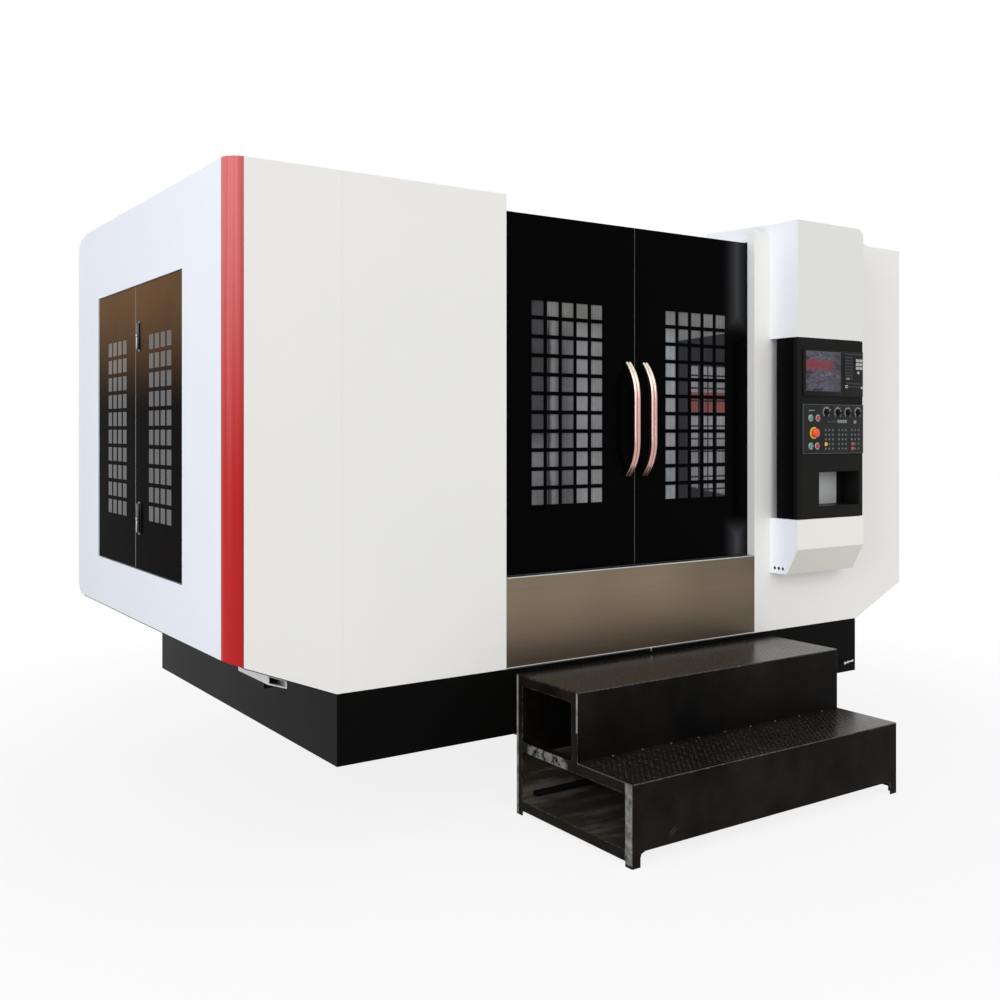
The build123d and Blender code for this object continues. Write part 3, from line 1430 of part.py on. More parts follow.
with BuildPart() as cabinet_door:
    rear = cabinet_rear + cabinet_door_thickness
    block(cabinet_left, cabinet_right, cabinet_rear, rear, cabinet_bottom, cabinet_top)
    block(cabinet_left + 28, cabinet_right - 28, cabinet_rear - 1, rear - 3, cabinet_bottom + 15,
          cabinet_top - 15, mode=Mode.SUBTRACT)
    for z in hinge_levels:
        block(cabinet_right - 10, hinge_x, hinge_y - 9, hinge_y + 9, z + 42, z + 70)
        with BuildSketch(Plane.XY.offset(z + 42)) as lug:
            with Locations((hinge_x, hinge_y)):
                Circle(9)
        extrude(lug.sketch, amount=28)
        with BuildSketch(Plane.XY.offset(z + 5)) as lug_pin:
            with Locations((hinge_x, hinge_y)):
                Circle(5)
        extrude(lug_pin.sketch, amount=40)
    grip = (cabinet_bottom + cabinet_top) / 2
    for z in (grip - 80, grip + 60):
        block(cabinet_left + 55, cabinet_left + 75, rear, rear + cabinet_handle_reach, z, z + 20)
    block(cabinet_left + 50, cabinet_left + 80, rear + cabinet_handle_reach - 10, rear + cabinet_handle_reach,
          grip - 90, grip + 90)
cabinet_door.part.label = "cabinet_door"
export_step(cabinet_door.part, "parts/cabinet_door.step")

with BuildPart() as drive_units:
    back = cabinet_front + sheet
    block(cabinet_left + 50, cabinet_right - 50, back, back + 4, cabinet_bottom + 80, cabinet_top - 80)
    for x, width, low, high, depth in (
        (90, 130, 1500, 1900, 250), (230, 90, 1500, 1900, 250), (330, 90, 1500, 1900, 250),
        (430, 90, 1500, 1900, 250), (570, 200, 1500, 1850, 210), (820, 180, 1450, 1950, 180),
        (90, 300, 850, 1150, 240), (450, 220, 850, 1080, 160), (720, 280, 850, 1250, 140),
    ):
        block(cabinet_left + x, cabinet_left + x + width, back + 2, back + 4 + depth, low, high)
drive_units.part.label = "drive_units"
export_step(drive_units.part, "parts/drive_units.step")

tank_left = x_left + 1000
tank_right = x_left + 2400
tank_rear = bed_rear + 345
tank_height = 500
with BuildPart() as coolant_tank:
    block(tank_left, tank_right, bed_rear, tank_rear, 0, tank_height)
    block(tank_left + 5, tank_right - 5, bed_rear + 5, tank_rear - 5, 5, tank_height + 1,
          mode=Mode.SUBTRACT)
    block(tank_left, tank_left + 620, bed_rear, tank_rear, tank_height - 5, tank_height)
    with BuildSketch(Plane.XY.offset(tank_height - 2)) as pump:
        with Locations((tank_left + 200, bed_rear + 170), (tank_left + 460, bed_rear + 170)):
            Circle(85)
    extrude(pump.sketch, amount=32)
    with BuildSketch(Plane.XY.offset(tank_height + 30)) as pump_motor:
        with Locations((tank_left + 200, bed_rear + 170), (tank_left + 460, bed_rear + 170)):
            Circle(65)
    extrude(pump_motor.sketch, amount=170)
coolant_tank.part.label = "coolant_tank"
export_step(coolant_tank.part, "parts/coolant_tank.step")
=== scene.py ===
import math
from functools import partial

import bmesh
import bpy
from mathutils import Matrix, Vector


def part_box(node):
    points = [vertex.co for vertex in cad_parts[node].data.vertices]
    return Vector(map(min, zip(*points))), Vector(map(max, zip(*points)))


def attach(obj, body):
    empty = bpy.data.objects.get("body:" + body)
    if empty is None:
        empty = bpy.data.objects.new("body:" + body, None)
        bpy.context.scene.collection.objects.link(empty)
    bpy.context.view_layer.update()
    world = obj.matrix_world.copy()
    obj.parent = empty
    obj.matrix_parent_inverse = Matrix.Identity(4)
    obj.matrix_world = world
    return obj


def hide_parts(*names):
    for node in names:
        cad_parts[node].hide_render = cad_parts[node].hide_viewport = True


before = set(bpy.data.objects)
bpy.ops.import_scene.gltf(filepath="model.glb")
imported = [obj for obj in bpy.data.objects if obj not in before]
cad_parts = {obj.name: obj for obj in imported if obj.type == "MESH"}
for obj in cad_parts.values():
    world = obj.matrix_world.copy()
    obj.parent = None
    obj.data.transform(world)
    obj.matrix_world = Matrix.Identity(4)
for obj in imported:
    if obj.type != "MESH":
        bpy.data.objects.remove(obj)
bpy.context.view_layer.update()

# Lengths are millimetres from the enclosure's front left corner on the floor: x to the right,
# y to the rear, z up. corner() turns them into metres. Levels in the finishes are metres.
CORNER_X = -1888.0
CORNER_Y = -899.5
PANEL_TOP = 2586
SKIRT_TOP = 608
OPENING_LEFT = 1195
OPENING_RIGHT = 2664
SEAM = 1937
DOOR_FACE = 50
DOOR_LOW = 992
DOOR_TOP = 2529
HANDLE_LOW = 1392
HANDLE_TOP = 1916
PANE_PITCH = 81
HALF_PANE = 32
STEP_LEFT = 1247
STEP_RIGHT = 2773
STEP_FRONT = -744
STEP_BREAK = -417
STEP_LOW = 310
STEP_HIGH = 583
# The console's left side, the front of its housings and the front of the plates on them.
POD_LEFT = 2775
POD_FACE = -177
PLATE_FACE = -185
# On the console x counts from its left side.
PLATE_RIGHT = 481
CASE_LEFT, CASE_LOW, CASE_TOP = 36, 1771, 2000
WINDOW_LEFT, WINDOW_RIGHT, WINDOW_LOW, WINDOW_TOP = 53, 309, 1795, 1992
BEZEL_RIGHT = 326
OPERATOR_LEFT, OPERATOR_LOW, OPERATOR_TOP = 28, 1488, 1731
KEY_BLOCKS = (218, 316, 414)
POCKET_LEFT, POCKET_LOW, POCKET_TOP = 156, 1230, 1399
ON_PLATES = ("console_group", "panel_plastic")


def corner(x, y, z):
    """A place on the machine as a Blender point."""
    return Vector(((CORNER_X + x) / 1000, (CORNER_Y + y) / 1000, z / 1000))


# Finishes


def linear(code):
    """An sRGB hex colour as linear RGBA."""
    values = [int(code[i:i + 2], 16) / 255 for i in (1, 3, 5)]
    return [v / 12.92 if v <= 0.04045 else ((v + 0.055) / 1.055) ** 2.4 for v in values] + [1.0]


def add_node(tree, kind, inputs=None, **settings):
    """Adds one node with its settings.

    An input takes a value, a hex colour, an output, or a node for its first live output.
    """
    node = tree.nodes.new("ShaderNode" + kind)
    for name, value in settings.items():
        setattr(node, name, value)
    for name, value in (inputs or {}).items():
        if isinstance(value, str):
            value = linear(value)
        if isinstance(value, bpy.types.Node):
            value = next(output for output in value.outputs if output.enabled)
        if isinstance(value, bpy.types.NodeSocket):
            tree.links.new(value, node.inputs[name])
        else:
            node.inputs[name].default_value = value
    return node


def new_finish(name):
    """An empty material, the tool that adds its nodes, and the piece's own coordinates in metres."""
    material = bpy.data.materials.new(name)
    material.use_nodes = True
    material.node_tree.nodes.clear()
    add = partial(add_node, material.node_tree)
    return material, add, add("TexCoord").outputs["Object"]


def close_finish(material, sockets):
    """Ends a material with its shader and output, and hands it over."""
    shader = add_node(material.node_tree, "BsdfPrincipled", sockets)
    add_node(material.node_tree, "OutputMaterial", {"Surface": shader})
    return material


def streaked(add, place, stretch, **sockets):
    """Noise drawn out along the axes with the smallest stretch."""
    drawn = add("VectorMath", {0: place, 1: stretch}, operation="MULTIPLY")
    return add("TexNoise", {"Vector": drawn, "Scale": 1.0, **sockets})


def set_stops(ramp, stops):
    """Gives a ramp its stops, each a share of its length and a colour."""
    for share, _ in stops[1:-1]:
        ramp.elements.new(share)
    for element, (share, code) in zip(ramp.elements, stops):
        element.position = share
        element.color = linear(code)


def plate_batches(side, under):
    """Painted light: left-facing plates and undersides get tones of their own, each a shade off the front
    plate's.
    """
    def vary(add, place, tone):
        facing = add("SeparateXYZ", {0: add("NewGeometry").outputs["True Normal"]}).outputs
        for axis, limit, code in ((0, -0.7, side), (2, -0.3, under)):
            turned_so = add("Math", {0: facing[axis], 1: limit}, operation="LESS_THAN")
            tone = add("Mix", {0: turned_so, 6: tone, 7: code}, data_type="RGBA")
        return tone
    return vary


def paler_forward(add, place, tone):
    """The coat on the long wall with painted light: a little paler towards the front corner and towards the
    roof.
    """
    parts = add("SeparateXYZ", {0: place}).outputs
    rear, front = corner(0, 2040, 0).y, corner(0, 0, 0).y
    forward = add("MapRange", {
        "Value": parts[1], "From Min": rear, "From Max": front, "To Min": 0.9, "To Max": 1.03})
    upward = add("MapRange", {
        "Value": parts[2], "From Min": 0.8, "From Max": 2.5, "To Min": 0.97, "To Max": 1.05})
    scale = add("Math", {0: forward, 1: upward}, operation="MULTIPLY")
    return add("VectorMath", {0: tone, "Scale": scale}, operation="SCALE")


def coating(name, low, high, roughness, patch, grain, relief, vary=None, **sockets):
    """A coated or cast surface: its colour drifts between two tones over patches, its grain shows as relief.

    Patch and grain are millimetres. Grain too fine to show is drawn as coarse as it needs to show.
    """
    material, add, place = new_finish(name)
    drift = add("TexNoise", {"Vector": place, "Scale": 1000 / patch, "Detail": 3.0})
    tone = add("Mix", {0: drift, 6: low, 7: high}, data_type="RGBA")
    if vary:
        tone = vary(add, place, tone)
    peel = add("TexNoise", {"Vector": place, "Scale": 1000 / grain, "Detail": 2.0})
    bump = add("Bump", {"Height": peel, "Strength": relief, "Distance": 0.001})
    sheen = add("MapRange", {"Value": drift, "To Min": roughness - 0.06, "To Max": roughness + 0.06})
    return close_finish(material, {
        "Base Color": tone, "Roughness": sheen, "Normal": bump, **sockets})


def gloss(level):
    """How much of the bright room a dark finish gives back."""
    return {"Specular IOR Level": level}


# Polyester powder coat, baked: an even off-white with a faint orange peel.
powder_white = coating("powder_coat_white", "#e4e4e1", "#ecebe8", 0.42, 900, 14, 0.05)
# The same coat on the wall that faces the daylight side, painted with the daylight's cool tint and with painted
# light towards its front corner and the roof.
powder_cool = coating("powder_coat_cool_white", "#d3d8df", "#dce0e7", 0.42, 900, 14, 0.05, paler_forward)
# The console housings' coats, the lower one a shade warmer; both carry painted light, paler and cooler on their
# left sides and darker underneath.
powder_pod = coating("powder_coat_console_white", "#dbdcda", "#e0e0df", 0.42, 900, 14, 0.05,
                     plate_batches("#eaecef", "#c9cac8"))
powder_low_pod = coating("powder_coat_console_ivory", "#e6e5e0", "#ebeae5", 0.42, 900, 14, 0.05,
                         plate_batches("#f5f8fd", "#dcd9d1"))
# Light grey batches of roof, rear and duct, duller than the white; and for the console pocket's back, the white
# panel drawn grey with painted shade.
powder_inner = coating("powder_coat_light_grey", "#c3c5c5", "#cdcecd", 0.5, 700, 14, 0.05)
lining_grey = coating("powder_coat_lining_grey", "#b0b4b4", "#c0c4c5", 0.5, 200, 12, 0.05)
# Satin black powder coat of skirt and side pans: hardly any sheen.
satin_black = coating("powder_coat_satin_black", "#050505", "#0a0a09", 0.36, 500, 12, 0.12, **gloss(0.03))
# The console body's coat: the same black, a little paler, with painted shade that makes it deep black on its
# side plate and underneath.
console_black = coating("powder_coat_console_black", "#151514", "#1d1d1c", 0.34, 500, 12, 0.12,
                        plate_batches("#050506", "#0b0b0b"), **gloss(0.04))
# Enamel on sand-cast iron: grey, slightly pebbled.
cast_paint = coating("enamel_on_cast_iron", "#83888a", "#8f9496", 0.45, 400, 10, 0.25)
# Sprayed motor enamel, primer and tank paint: even, with a fine spray texture.
motor_black = coating("enamel_motor_black", "#161616", "#202020", 0.4, 200, 8, 0.15)
primer_grey = coating("primer_grey", "#7b7e80", "#878a8b", 0.5, 300, 9, 0.1)
tank_paint = coating("paint_light_grey", "#a9adad", "#b6b9b8", 0.45, 500, 12, 0.1)
# Moulded ABS of the control panels and keys: matt with a fine spark-eroded grain.
dull = gloss(0.1)
panel_plastic = coating("abs_charcoal", "#1d1f1f", "#2a2b2a", 0.55, 60, 2.5, 0.2, **dull)
bezel_plastic = coating("abs_black", "#0e0e0f", "#161617", 0.5, 60, 2.5, 0.2, **dull)
key_plastic = coating("abs_key_grey", "#303234", "#3e4042", 0.5, 30, 2.5, 0.1, **dull)
key_white = coating("abs_key_white", "#9b9d9b", "#b4b5b2", 0.45, 30, 2.5, 0.1, **dull)
drive_plastic = coating("abs_drive_grey", "#8f918c", "#9c9e98", 0.5, 100, 4, 0.1)
# Printed ink on the keys and the operator plate's anodised edge: flat greys.
key_mark = coating("ink_key_marks", "#7b7d7b", "#989a97", 0.5, 9, 2.5, 0.1, **dull)
border_grey = coating("anodised_grey_edge", "#393b3c", "#4d4f50", 0.45, 30, 2.5, 0.1)
# Pressed phenolic of the knobs: black, a little smoother than the panels.
knob_plastic = coating("phenolic_black", "#0c0c0d", "#161616", 0.35, 20, 2.5, 0.1, **dull)
# Moulded polycarbonate of stop, ring and caps: bright colours with a soft gloss.
stop_plastic = coating("polycarbonate_orange_red", "#d8401f", "#e4502b", 0.3, 30, 3, 0.05)
ring_yellow = coating("polycarbonate_yellow", "#d9a724", "#e3b437", 0.4, 30, 3, 0.05)
button_green = coating("polycarbonate_green", "#3f7a63", "#5a957e", 0.3, 12, 3, 0.05)
button_red = coating("polycarbonate_red", "#9a3036", "#ad4548", 0.3, 12, 3, 0.05)
# Moulded rubber: black and quite matt.
seal_rubber = coating("epdm_rubber", "#0a0a0a", "#111111", 0.7, 60, 3, 0.2, **dull)
# Ground, turned, plated and die-cast metals: greys with a soft shine, each with metal's own index.
ground_steel = coating("ground_steel", "#9b9c9d", "#b0b1b1", 0.3, 120, 3, 0.12, Metallic=1.0)
turned_aluminium = coating("turned_aluminium", "#b9babb", "#c9cacb", 0.34, 120, 3, 0.1, Metallic=1.0)
ground_iron = coating("ground_cast_iron", "#77797b", "#8a8c8d", 0.36, 150, 4, 0.15, Metallic=1.0)
bright_zinc = coating("bright_zinc_plate", "#b4b6b8", "#c6c8ca", 0.22, 80, 3, 0.05, Metallic=1.0)
cast_zinc = coating("die_cast_zinc_dark", "#2c2b2b", "#474645", 0.25, 25, 3, 0.05, Metallic=1.0)


def brushed_stainless():
    """Brushed stainless sheet with a painted reflection of a warm floor: level strokes, darker at its foot and
    to the right.
    """
    material, add, place = new_finish("stainless_brushed_warm")
    grain = streaked(add, place, (2.0, 2.0, 170.0), Detail=3.0)
    parts = add("SeparateXYZ", {0: place}).outputs
    # Painted reflection: warm tones, darker at the foot and towards the right.
    fall = add("MapRange", {"Value": parts[2], "From Min": 0.62, "From Max": 0.92},
               interpolation_type="SMOOTHSTEP")
    broad = add("TexNoise", {"Vector": place, "Scale": 1.6, "Detail": 1.0})
    mixed = add("Math", {0: fall, 1: broad, 2: -0.1}, operation="MULTIPLY_ADD")
    left, right = corner(OPENING_LEFT + 350, 0, 0).x, corner(OPENING_RIGHT, 0, 0).x
    far = add("MapRange", {
        "Value": parts[0], "From Min": left, "From Max": right, "To Min": 1.0, "To Max": 0.8})
    body = add("Mix", {0: mixed, 6: "#6a5d50", 7: "#94856f"}, data_type="RGBA")
    body = add("VectorMath", {0: body, "Scale": far}, operation="SCALE")
    tone = add("Mix", {0: 0.16, 6: body, 7: grain.outputs[1]}, data_type="RGBA", blend_type="OVERLAY")
    rough = add("MapRange", {"Value": grain, "To Min": 0.26, "To Max": 0.42})
    bump = add("Bump", {"Height": grain, "Strength": 0.08, "Distance": 0.001})
    return close_finish(material, {
        "Base Color": tone, "Metallic": 1.0, "Roughness": rough, "Normal": bump, "Anisotropic": 0.6})


def box_mask(add, place, low, high, soft):
    """One inside a box between two corners, fading to nothing over a soft margin in metres."""
    low, high = corner(*low), corner(*high)
    offset = add("VectorMath", {0: place, 1: (low + high) / 2}, operation="SUBTRACT")
    reach = add("VectorMath", {0: offset}, operation="ABSOLUTE")
    over = add("VectorMath", {0: reach, 1: (high - low) / 2}, operation="SUBTRACT")
    parts = add("SeparateXYZ", {0: over}).outputs
    widest = add("Math", {0: parts[0], 1: parts[1]}, operation="MAXIMUM")
    widest = add("Math", {0: widest, 1: parts[2]}, operation="MAXIMUM")
    return add("MapRange", {"Value": widest, "From Min": soft, "From Max": -soft})


def worn_paint(name, low, high, bare, reach, sheen, **sockets):
    """Black paint on welded steel, with bare metal where feet and trolleys knock it and paler streaks on the
    sheets inside.
    """
    material, add, place = new_finish(name)
    drift = add("TexNoise", {"Vector": place, "Scale": 4.0, "Detail": 6.0, "Roughness": 0.6})
    spread = add("MapRange", {"Value": drift, "From Min": 0.35, "From Max": 0.65})
    tone = add("Mix", {0: spread, 6: low, 7: high}, data_type="RGBA")
    flat = add("NewGeometry").outputs["True Normal"]
    facing = add("SeparateXYZ", {0: flat}).outputs
    parts = add("SeparateXYZ", {0: place}).outputs
    leftward = add("Math", {0: facing[0], 1: -0.5}, operation="LESS_THAN")
    forward = add("Math", {0: facing[1], 1: -0.7}, operation="LESS_THAN")
    upward = add("Math", {0: facing[2], 1: 0.7}, operation="GREATER_THAN")
    # Paler streaked tones on the sheets inside the lower step, less and less to the right.
    smears = streaked(add, place, (2.6, 9.0, 18.0), Detail=5.0, Roughness=0.65)
    dusty = add("MapRange", {"Value": smears, "From Min": 0.5, "From Max": 0.82})
    dust = add("Mix", {0: dusty, 6: "#37322c", 7: "#827a70"}, data_type="RGBA")
    plate = box_mask(add, place, (STEP_LEFT, STEP_FRONT, 50), (STEP_RIGHT, 0, 64), 0.001)
    plate = add("Math", {0: upward, 1: plate}, operation="MULTIPLY")
    back = box_mask(add, place, (STEP_LEFT, -8, 40), (STEP_RIGHT, 0, 236), 0.001)
    back = add("Math", {0: forward, 1: back}, operation="MULTIPLY")
    inside = add("Math", {0: plate, 1: back}, operation="MAXIMUM")
    near, deep = corner(STEP_LEFT + 330, 0, 0).x, corner(STEP_LEFT + 560, 0, 0).x
    reached = add("MapRange", {
        "Value": parts[0], "From Min": near, "From Max": deep, "To Min": 1.0, "To Max": 0.0})
    inside = add("Math", {0: inside, 1: reached}, operation="MULTIPLY")
    tone = add("Mix", {0: inside, 6: tone, 7: dust}, data_type="RGBA")
    # Painted shade: the upper riser darkens towards the lower tread.
    riser = box_mask(add, place, (STEP_LEFT, STEP_BREAK - 8, STEP_LOW), (STEP_RIGHT, STEP_BREAK + 3, 560), 0.02)
    riser = add("Math", {0: forward, 1: riser}, operation="MULTIPLY")
    sunk = add("MapRange", {"Value": parts[2], "From Min": 0.56, "From Max": 0.36, "To Max": 0.85})
    riser = add("Math", {0: riser, 1: sunk}, operation="MULTIPLY")
    tone = add("Mix", {0: riser, 6: tone, 7: "#050506"}, data_type="RGBA")
    # Chips along every edge.
    rounded = add("Bevel", {"Radius": reach / 1000}, samples=6)
    turn = add("VectorMath", {0: rounded, 1: flat}, operation="DOT_PRODUCT")
    edge = add("MapRange", {"Value": turn, "From Min": 0.995, "From Max": 0.93})
    chips = add("TexNoise", {"Vector": place, "Scale": 60.0, "Detail": 6.0, "Roughness": 0.65})
    flaked = add("MapRange", {"Value": chips, "From Min": 0.44, "From Max": 0.62, "To Max": 0.6})
    total = add("Math", {0: edge, 1: flaked}, operation="MULTIPLY")
    # What is knocked most looks to the left: front leg, side bar, upper corner, rear leg. At the upper corner
    # the pale strip is partly a painted highlight along the rounded edge.
    blotches = add("TexNoise", {"Vector": place, "Scale": 26.0, "Detail": 8.0, "Roughness": 0.7})
    for y_near, y_far, z_low, z_high, soft, bare_from, bare_to in (
        (STEP_FRONT - 2, STEP_FRONT + 40, 12, 306, 0.004, 0.3, 0.62),
        (-335, -95, 262, 309, 0.022, 0.43, 0.5),
        # Upper corner: bare metal and a painted highlight on the rounded edge.
        (STEP_BREAK - 2, STEP_BREAK + 9, 425, 580, 0.003, 0.2, 0.5),
        (-13, 2, 5, STEP_HIGH, 0.003, 0.26, 0.54),
    ):
        spot = box_mask(add, place, (STEP_LEFT - 3, y_near, z_low), (STEP_LEFT + 3, y_far, z_high), soft)
        spot = add("Math", {0: spot, 1: leftward}, operation="MULTIPLY")
        rubbed = add("MapRange", {"Value": blotches, "From Min": bare_from, "From Max": bare_to})
        spot = add("Math", {0: spot, 1: rubbed}, operation="MULTIPLY")
        total = add("Math", {0: total, 1: spot}, operation="MAXIMUM")
    # Two short scratches low on the front sheet: long one way, thin across.
    long_way = ((0.75, 0.0, 0.66), 0.026, 0.008, 0.27)
    across = ((-0.66, 0.0, 0.75), 0.0016, 0.0006, 1.0)
    for x, z in ((1441, 103), (1452, 97)):
        offset = add("VectorMath", {0: place, 1: corner(x, STEP_FRONT, z)}, operation="SUBTRACT")
        shares = []
        for direction, outer, inner, most in (long_way, across):
            away = add("VectorMath", {0: offset, 1: direction}, operation="DOT_PRODUCT")
            away = add("Math", {0: away}, operation="ABSOLUTE")
            shares.append(add("MapRange", {
                "Value": away, "From Min": outer, "From Max": inner, "To Max": most}))
        mark = add("Math", {0: shares[0], 1: shares[1]}, operation="MULTIPLY")
        total = add("Math", {0: total, 1: mark}, operation="MAXIMUM")
    colour = add("Mix", {0: total, 6: tone, 7: bare}, data_type="RGBA")
    rough = add("MapRange", {"Value": drift, "To Min": sheen - 0.06, "To Max": sheen + 0.08})
    bump = add("Bump", {"Height": chips, "Strength": 0.06, "Distance": 0.001})
    return close_finish(material, {
        "Base Color": colour, "Roughness": rough, "Normal": bump, **sockets})


def hall_doorway(add, x, z, seen):
    """A painted reflection of a dark doorway in the right leaf: pale between its posts and rails, with a dim
    red beam.
    """
    left, top = 2199, 2024
    lintel_slope, sill_slope = 0.162, 0.2
    reach = add("Math", {0: x, 1: corner(left, 0, 0).x}, operation="GREATER_THAN")
    slant = add("Math", {0: x, 1: -lintel_slope, 2: z}, operation="MULTIPLY_ADD")
    lintel = (top - lintel_slope * (CORNER_X + left)) / 1000
    below = add("MapRange", {"Value": slant, "From Min": lintel + 0.003, "From Max": lintel - 0.003})
    gaps = add("MapRange", {"Value": z, "From Min": (top - 112) / 1000, "From Max": (top - 118) / 1000})
    for post_from, post_to in ((left, left + 88), (2336, 2367), (2397, 2405), (2447, 2461)):
        middle, half = corner((post_from + post_to) / 2, 0, 0).x, (post_to - post_from) / 2000
        post = add("Math", {0: x, 1: middle, 2: half}, operation="COMPARE")
        gaps = add("Math", {0: gaps, 1: post}, operation="SUBTRACT", use_clamp=True)
    # The rails lie 60.5 mm apart.
    rails = add("Math", {0: z, 1: -0.0505}, operation="ADD")
    rails = add("Math", {0: rails, 1: 0.03025}, operation="PINGPONG")
    rails = add("MapRange", {"Value": rails, "From Min": 0.003, "From Max": 0.0055})
    gaps = add("Math", {0: gaps, 1: rails}, operation="MULTIPLY")
    sill = add("Math", {0: x, 1: sill_slope, 2: z}, operation="MULTIPLY_ADD")
    ground = (1338 + sill_slope * (CORNER_X + 2280)) / 1000
    above = add("MapRange", {"Value": sill, "From Min": ground - 0.006, "From Max": ground + 0.006})
    gaps = add("Math", {0: gaps, 1: above}, operation="MULTIPLY")
    beam = add("Math", {0: z, 1: (top - 286) / 1000, 2: 0.047}, operation="COMPARE")
    lit = add("Mix", {0: beam, 6: "#88888c", 7: "#85494a"}, data_type="RGBA")
    doorway = add("Mix", {0: gaps, 6: "#27272e", 7: lit}, data_type="RGBA")
    area = add("Math", {0: reach, 1: below}, operation="MULTIPLY")
    return add("Mix", {0: area, 6: seen, 7: doorway}, data_type="RGBA")


def tinted_glass(name, stops, head_from, head_code, with_doorway=False):
    """Grey laminated safety glass, ribbed fine and upright, with a painted reflection of the hall before it in
    wide bands.
    """
    material, add, place = new_finish(name)
    parts = add("SeparateXYZ", {0: place}).outputs
    along = add("Math", {0: parts[0], 1: parts[1]}, operation="ADD")
    level = add("TexNoise", {"Vector": place, "Scale": 5.0, "Detail": 4.0, "Roughness": 0.6})
    sway = add("Math", {0: level, 1: 0.03, 2: along}, operation="MULTIPLY_ADD")
    first, last = stops[0][0], stops[-1][0]
    left, right = ((CORNER_X + x + CORNER_Y + DOOR_FACE) / 1000 for x in (first, last))
    span = add("MapRange", {"Value": sway, "From Min": left + 0.015, "From Max": right + 0.015})
    ramp = add("ValToRGB", {0: span})
    set_stops(ramp.color_ramp, [((x - first) / (last - first), code) for x, code in stops])
    ribs = add("TexNoise", {"W": along, "Scale": 140.0, "Detail": 2.0}, noise_dimensions="1D")
    lines = add("MapRange", {
        "Value": ribs, "From Min": 0.35, "From Max": 0.65, "To Min": 0.72, "To Max": 1.12})
    cloud = add("MapRange", {
        "Value": level, "From Min": 0.3, "From Max": 0.7, "To Min": 0.7, "To Max": 1.2})
    shade = add("Math", {0: lines, 1: cloud}, operation="MULTIPLY")
    rise = add("MapRange", {"Value": parts[2], "From Min": head_from, "From Max": head_from + 0.09})
    if with_doorway:
        # Painted reflection: the first column of cells keeps its dark band to the head, and is paler low down.
        later = add("Math", {0: parts[0], 1: corner(1444, 0, 0).x}, operation="GREATER_THAN")
        rise = add("Math", {0: rise, 1: later}, operation="MULTIPLY")
    seen = add("Mix", {0: rise, 6: ramp, 7: head_code}, data_type="RGBA")
    if with_doorway:
        sink = add("MapRange", {"Value": parts[2], "From Min": 1.6, "From Max": 1.52})
        sink = add("Math", {0: sink, 1: later}, operation="SUBTRACT", use_clamp=True)
        seen = add("Mix", {0: sink, 6: seen, 7: "#707174"}, data_type="RGBA")
        seen = hall_doorway(add, parts[0], parts[2], seen)
    tone = add("VectorMath", {0: seen, "Scale": shade}, operation="SCALE")
    return close_finish(material, {
        "Base Color": tone, "Roughness": 0.14, "Transmission Weight": 0.1, "IOR": 1.5,
        "Specular IOR Level": 0.08})


def warm_chrome():
    """Polished chrome over brass: rose along the grip, with a painted highlight that makes the upper bend
    paler, and hairlines along the bar.
    """
    material, add, place = new_finish("chrome_polished_rose")
    hairs = streaked(add, place, (260.0, 260.0, 6.0), Detail=2.0)
    tone = add("Mix", {0: hairs, 6: "#b68d86", 7: "#dcb8b0"}, data_type="RGBA")
    parts = add("SeparateXYZ", {0: place}).outputs
    # Painted highlight on the upper bend.
    above = add("Math", {0: parts[2], 1: (HANDLE_LOW + HANDLE_TOP) / 2000}, operation="SUBTRACT")
    pale = add("MapRange", {"Value": above, "From Min": 0.12, "From Max": 0.23})
    tone = add("Mix", {0: pale, 6: tone, 7: "#efe3cf"}, data_type="RGBA")
    rough = add("MapRange", {"Value": hairs, "To Min": 0.12, "To Max": 0.24})
    return close_finish(material, {
        "Base Color": tone, "Metallic": 1.0, "Roughness": rough})


def door_enamel():
    """Gloss enamel on the sliding doors: nearly a mirror kept dark, with two soft painted reflections down the
    outer edge.
    """
    material, add, place = new_finish("enamel_gloss_black")
    drift = add("TexNoise", {"Vector": place, "Scale": 3.0, "Detail": 2.0})
    tone = add("Mix", {0: drift, 6: "#020202", 7: "#050505"}, data_type="RGBA")
    # Two soft painted reflections down the outer edge.
    middle = OPENING_RIGHT - 70
    for low_z, high_z, code in ((2110, 2700, "#3b3c3f"), (900, 1140, "#414246")):
        glow = box_mask(add, place, (middle - 55, -200, low_z), (middle + 55, 300, high_z), 0.055)
        glow = add("Math", {0: glow, 1: 2.2}, operation="POWER")
        tone = add("Mix", {0: glow, 6: tone, 7: code}, data_type="RGBA")
    peel = add("TexNoise", {"Vector": place, "Scale": 16.0, "Detail": 2.0})
    bump = add("Bump", {"Height": peel, "Strength": 0.02, "Distance": 0.001})
    return close_finish(material, {
        "Base Color": tone, "Roughness": 0.1, "Normal": bump, "Specular IOR Level": 0.012})


def side_door_enamel():
    """The same enamel on the service doors, browner high up with a painted reflection of a warm room."""
    material, add, place = new_finish("enamel_gloss_black_warm")
    parts = add("SeparateXYZ", {0: place}).outputs
    # Painted reflection of a warm room high up.
    rise = add("MapRange", {"Value": parts[2], "From Min": 1.66, "From Max": 2.26},
               interpolation_type="SMOOTHSTEP")
    drift = add("TexNoise", {"Vector": place, "Scale": 2.5, "Detail": 2.0})
    warm = add("Mix", {0: drift, 6: "#543c25", 7: "#73563c"}, data_type="RGBA")
    tone = add("Mix", {0: rise, 6: "#0d0b0a", 7: warm}, data_type="RGBA")
    return close_finish(material, {
        "Base Color": tone, "Roughness": 0.12, "Specular IOR Level": 0.001})


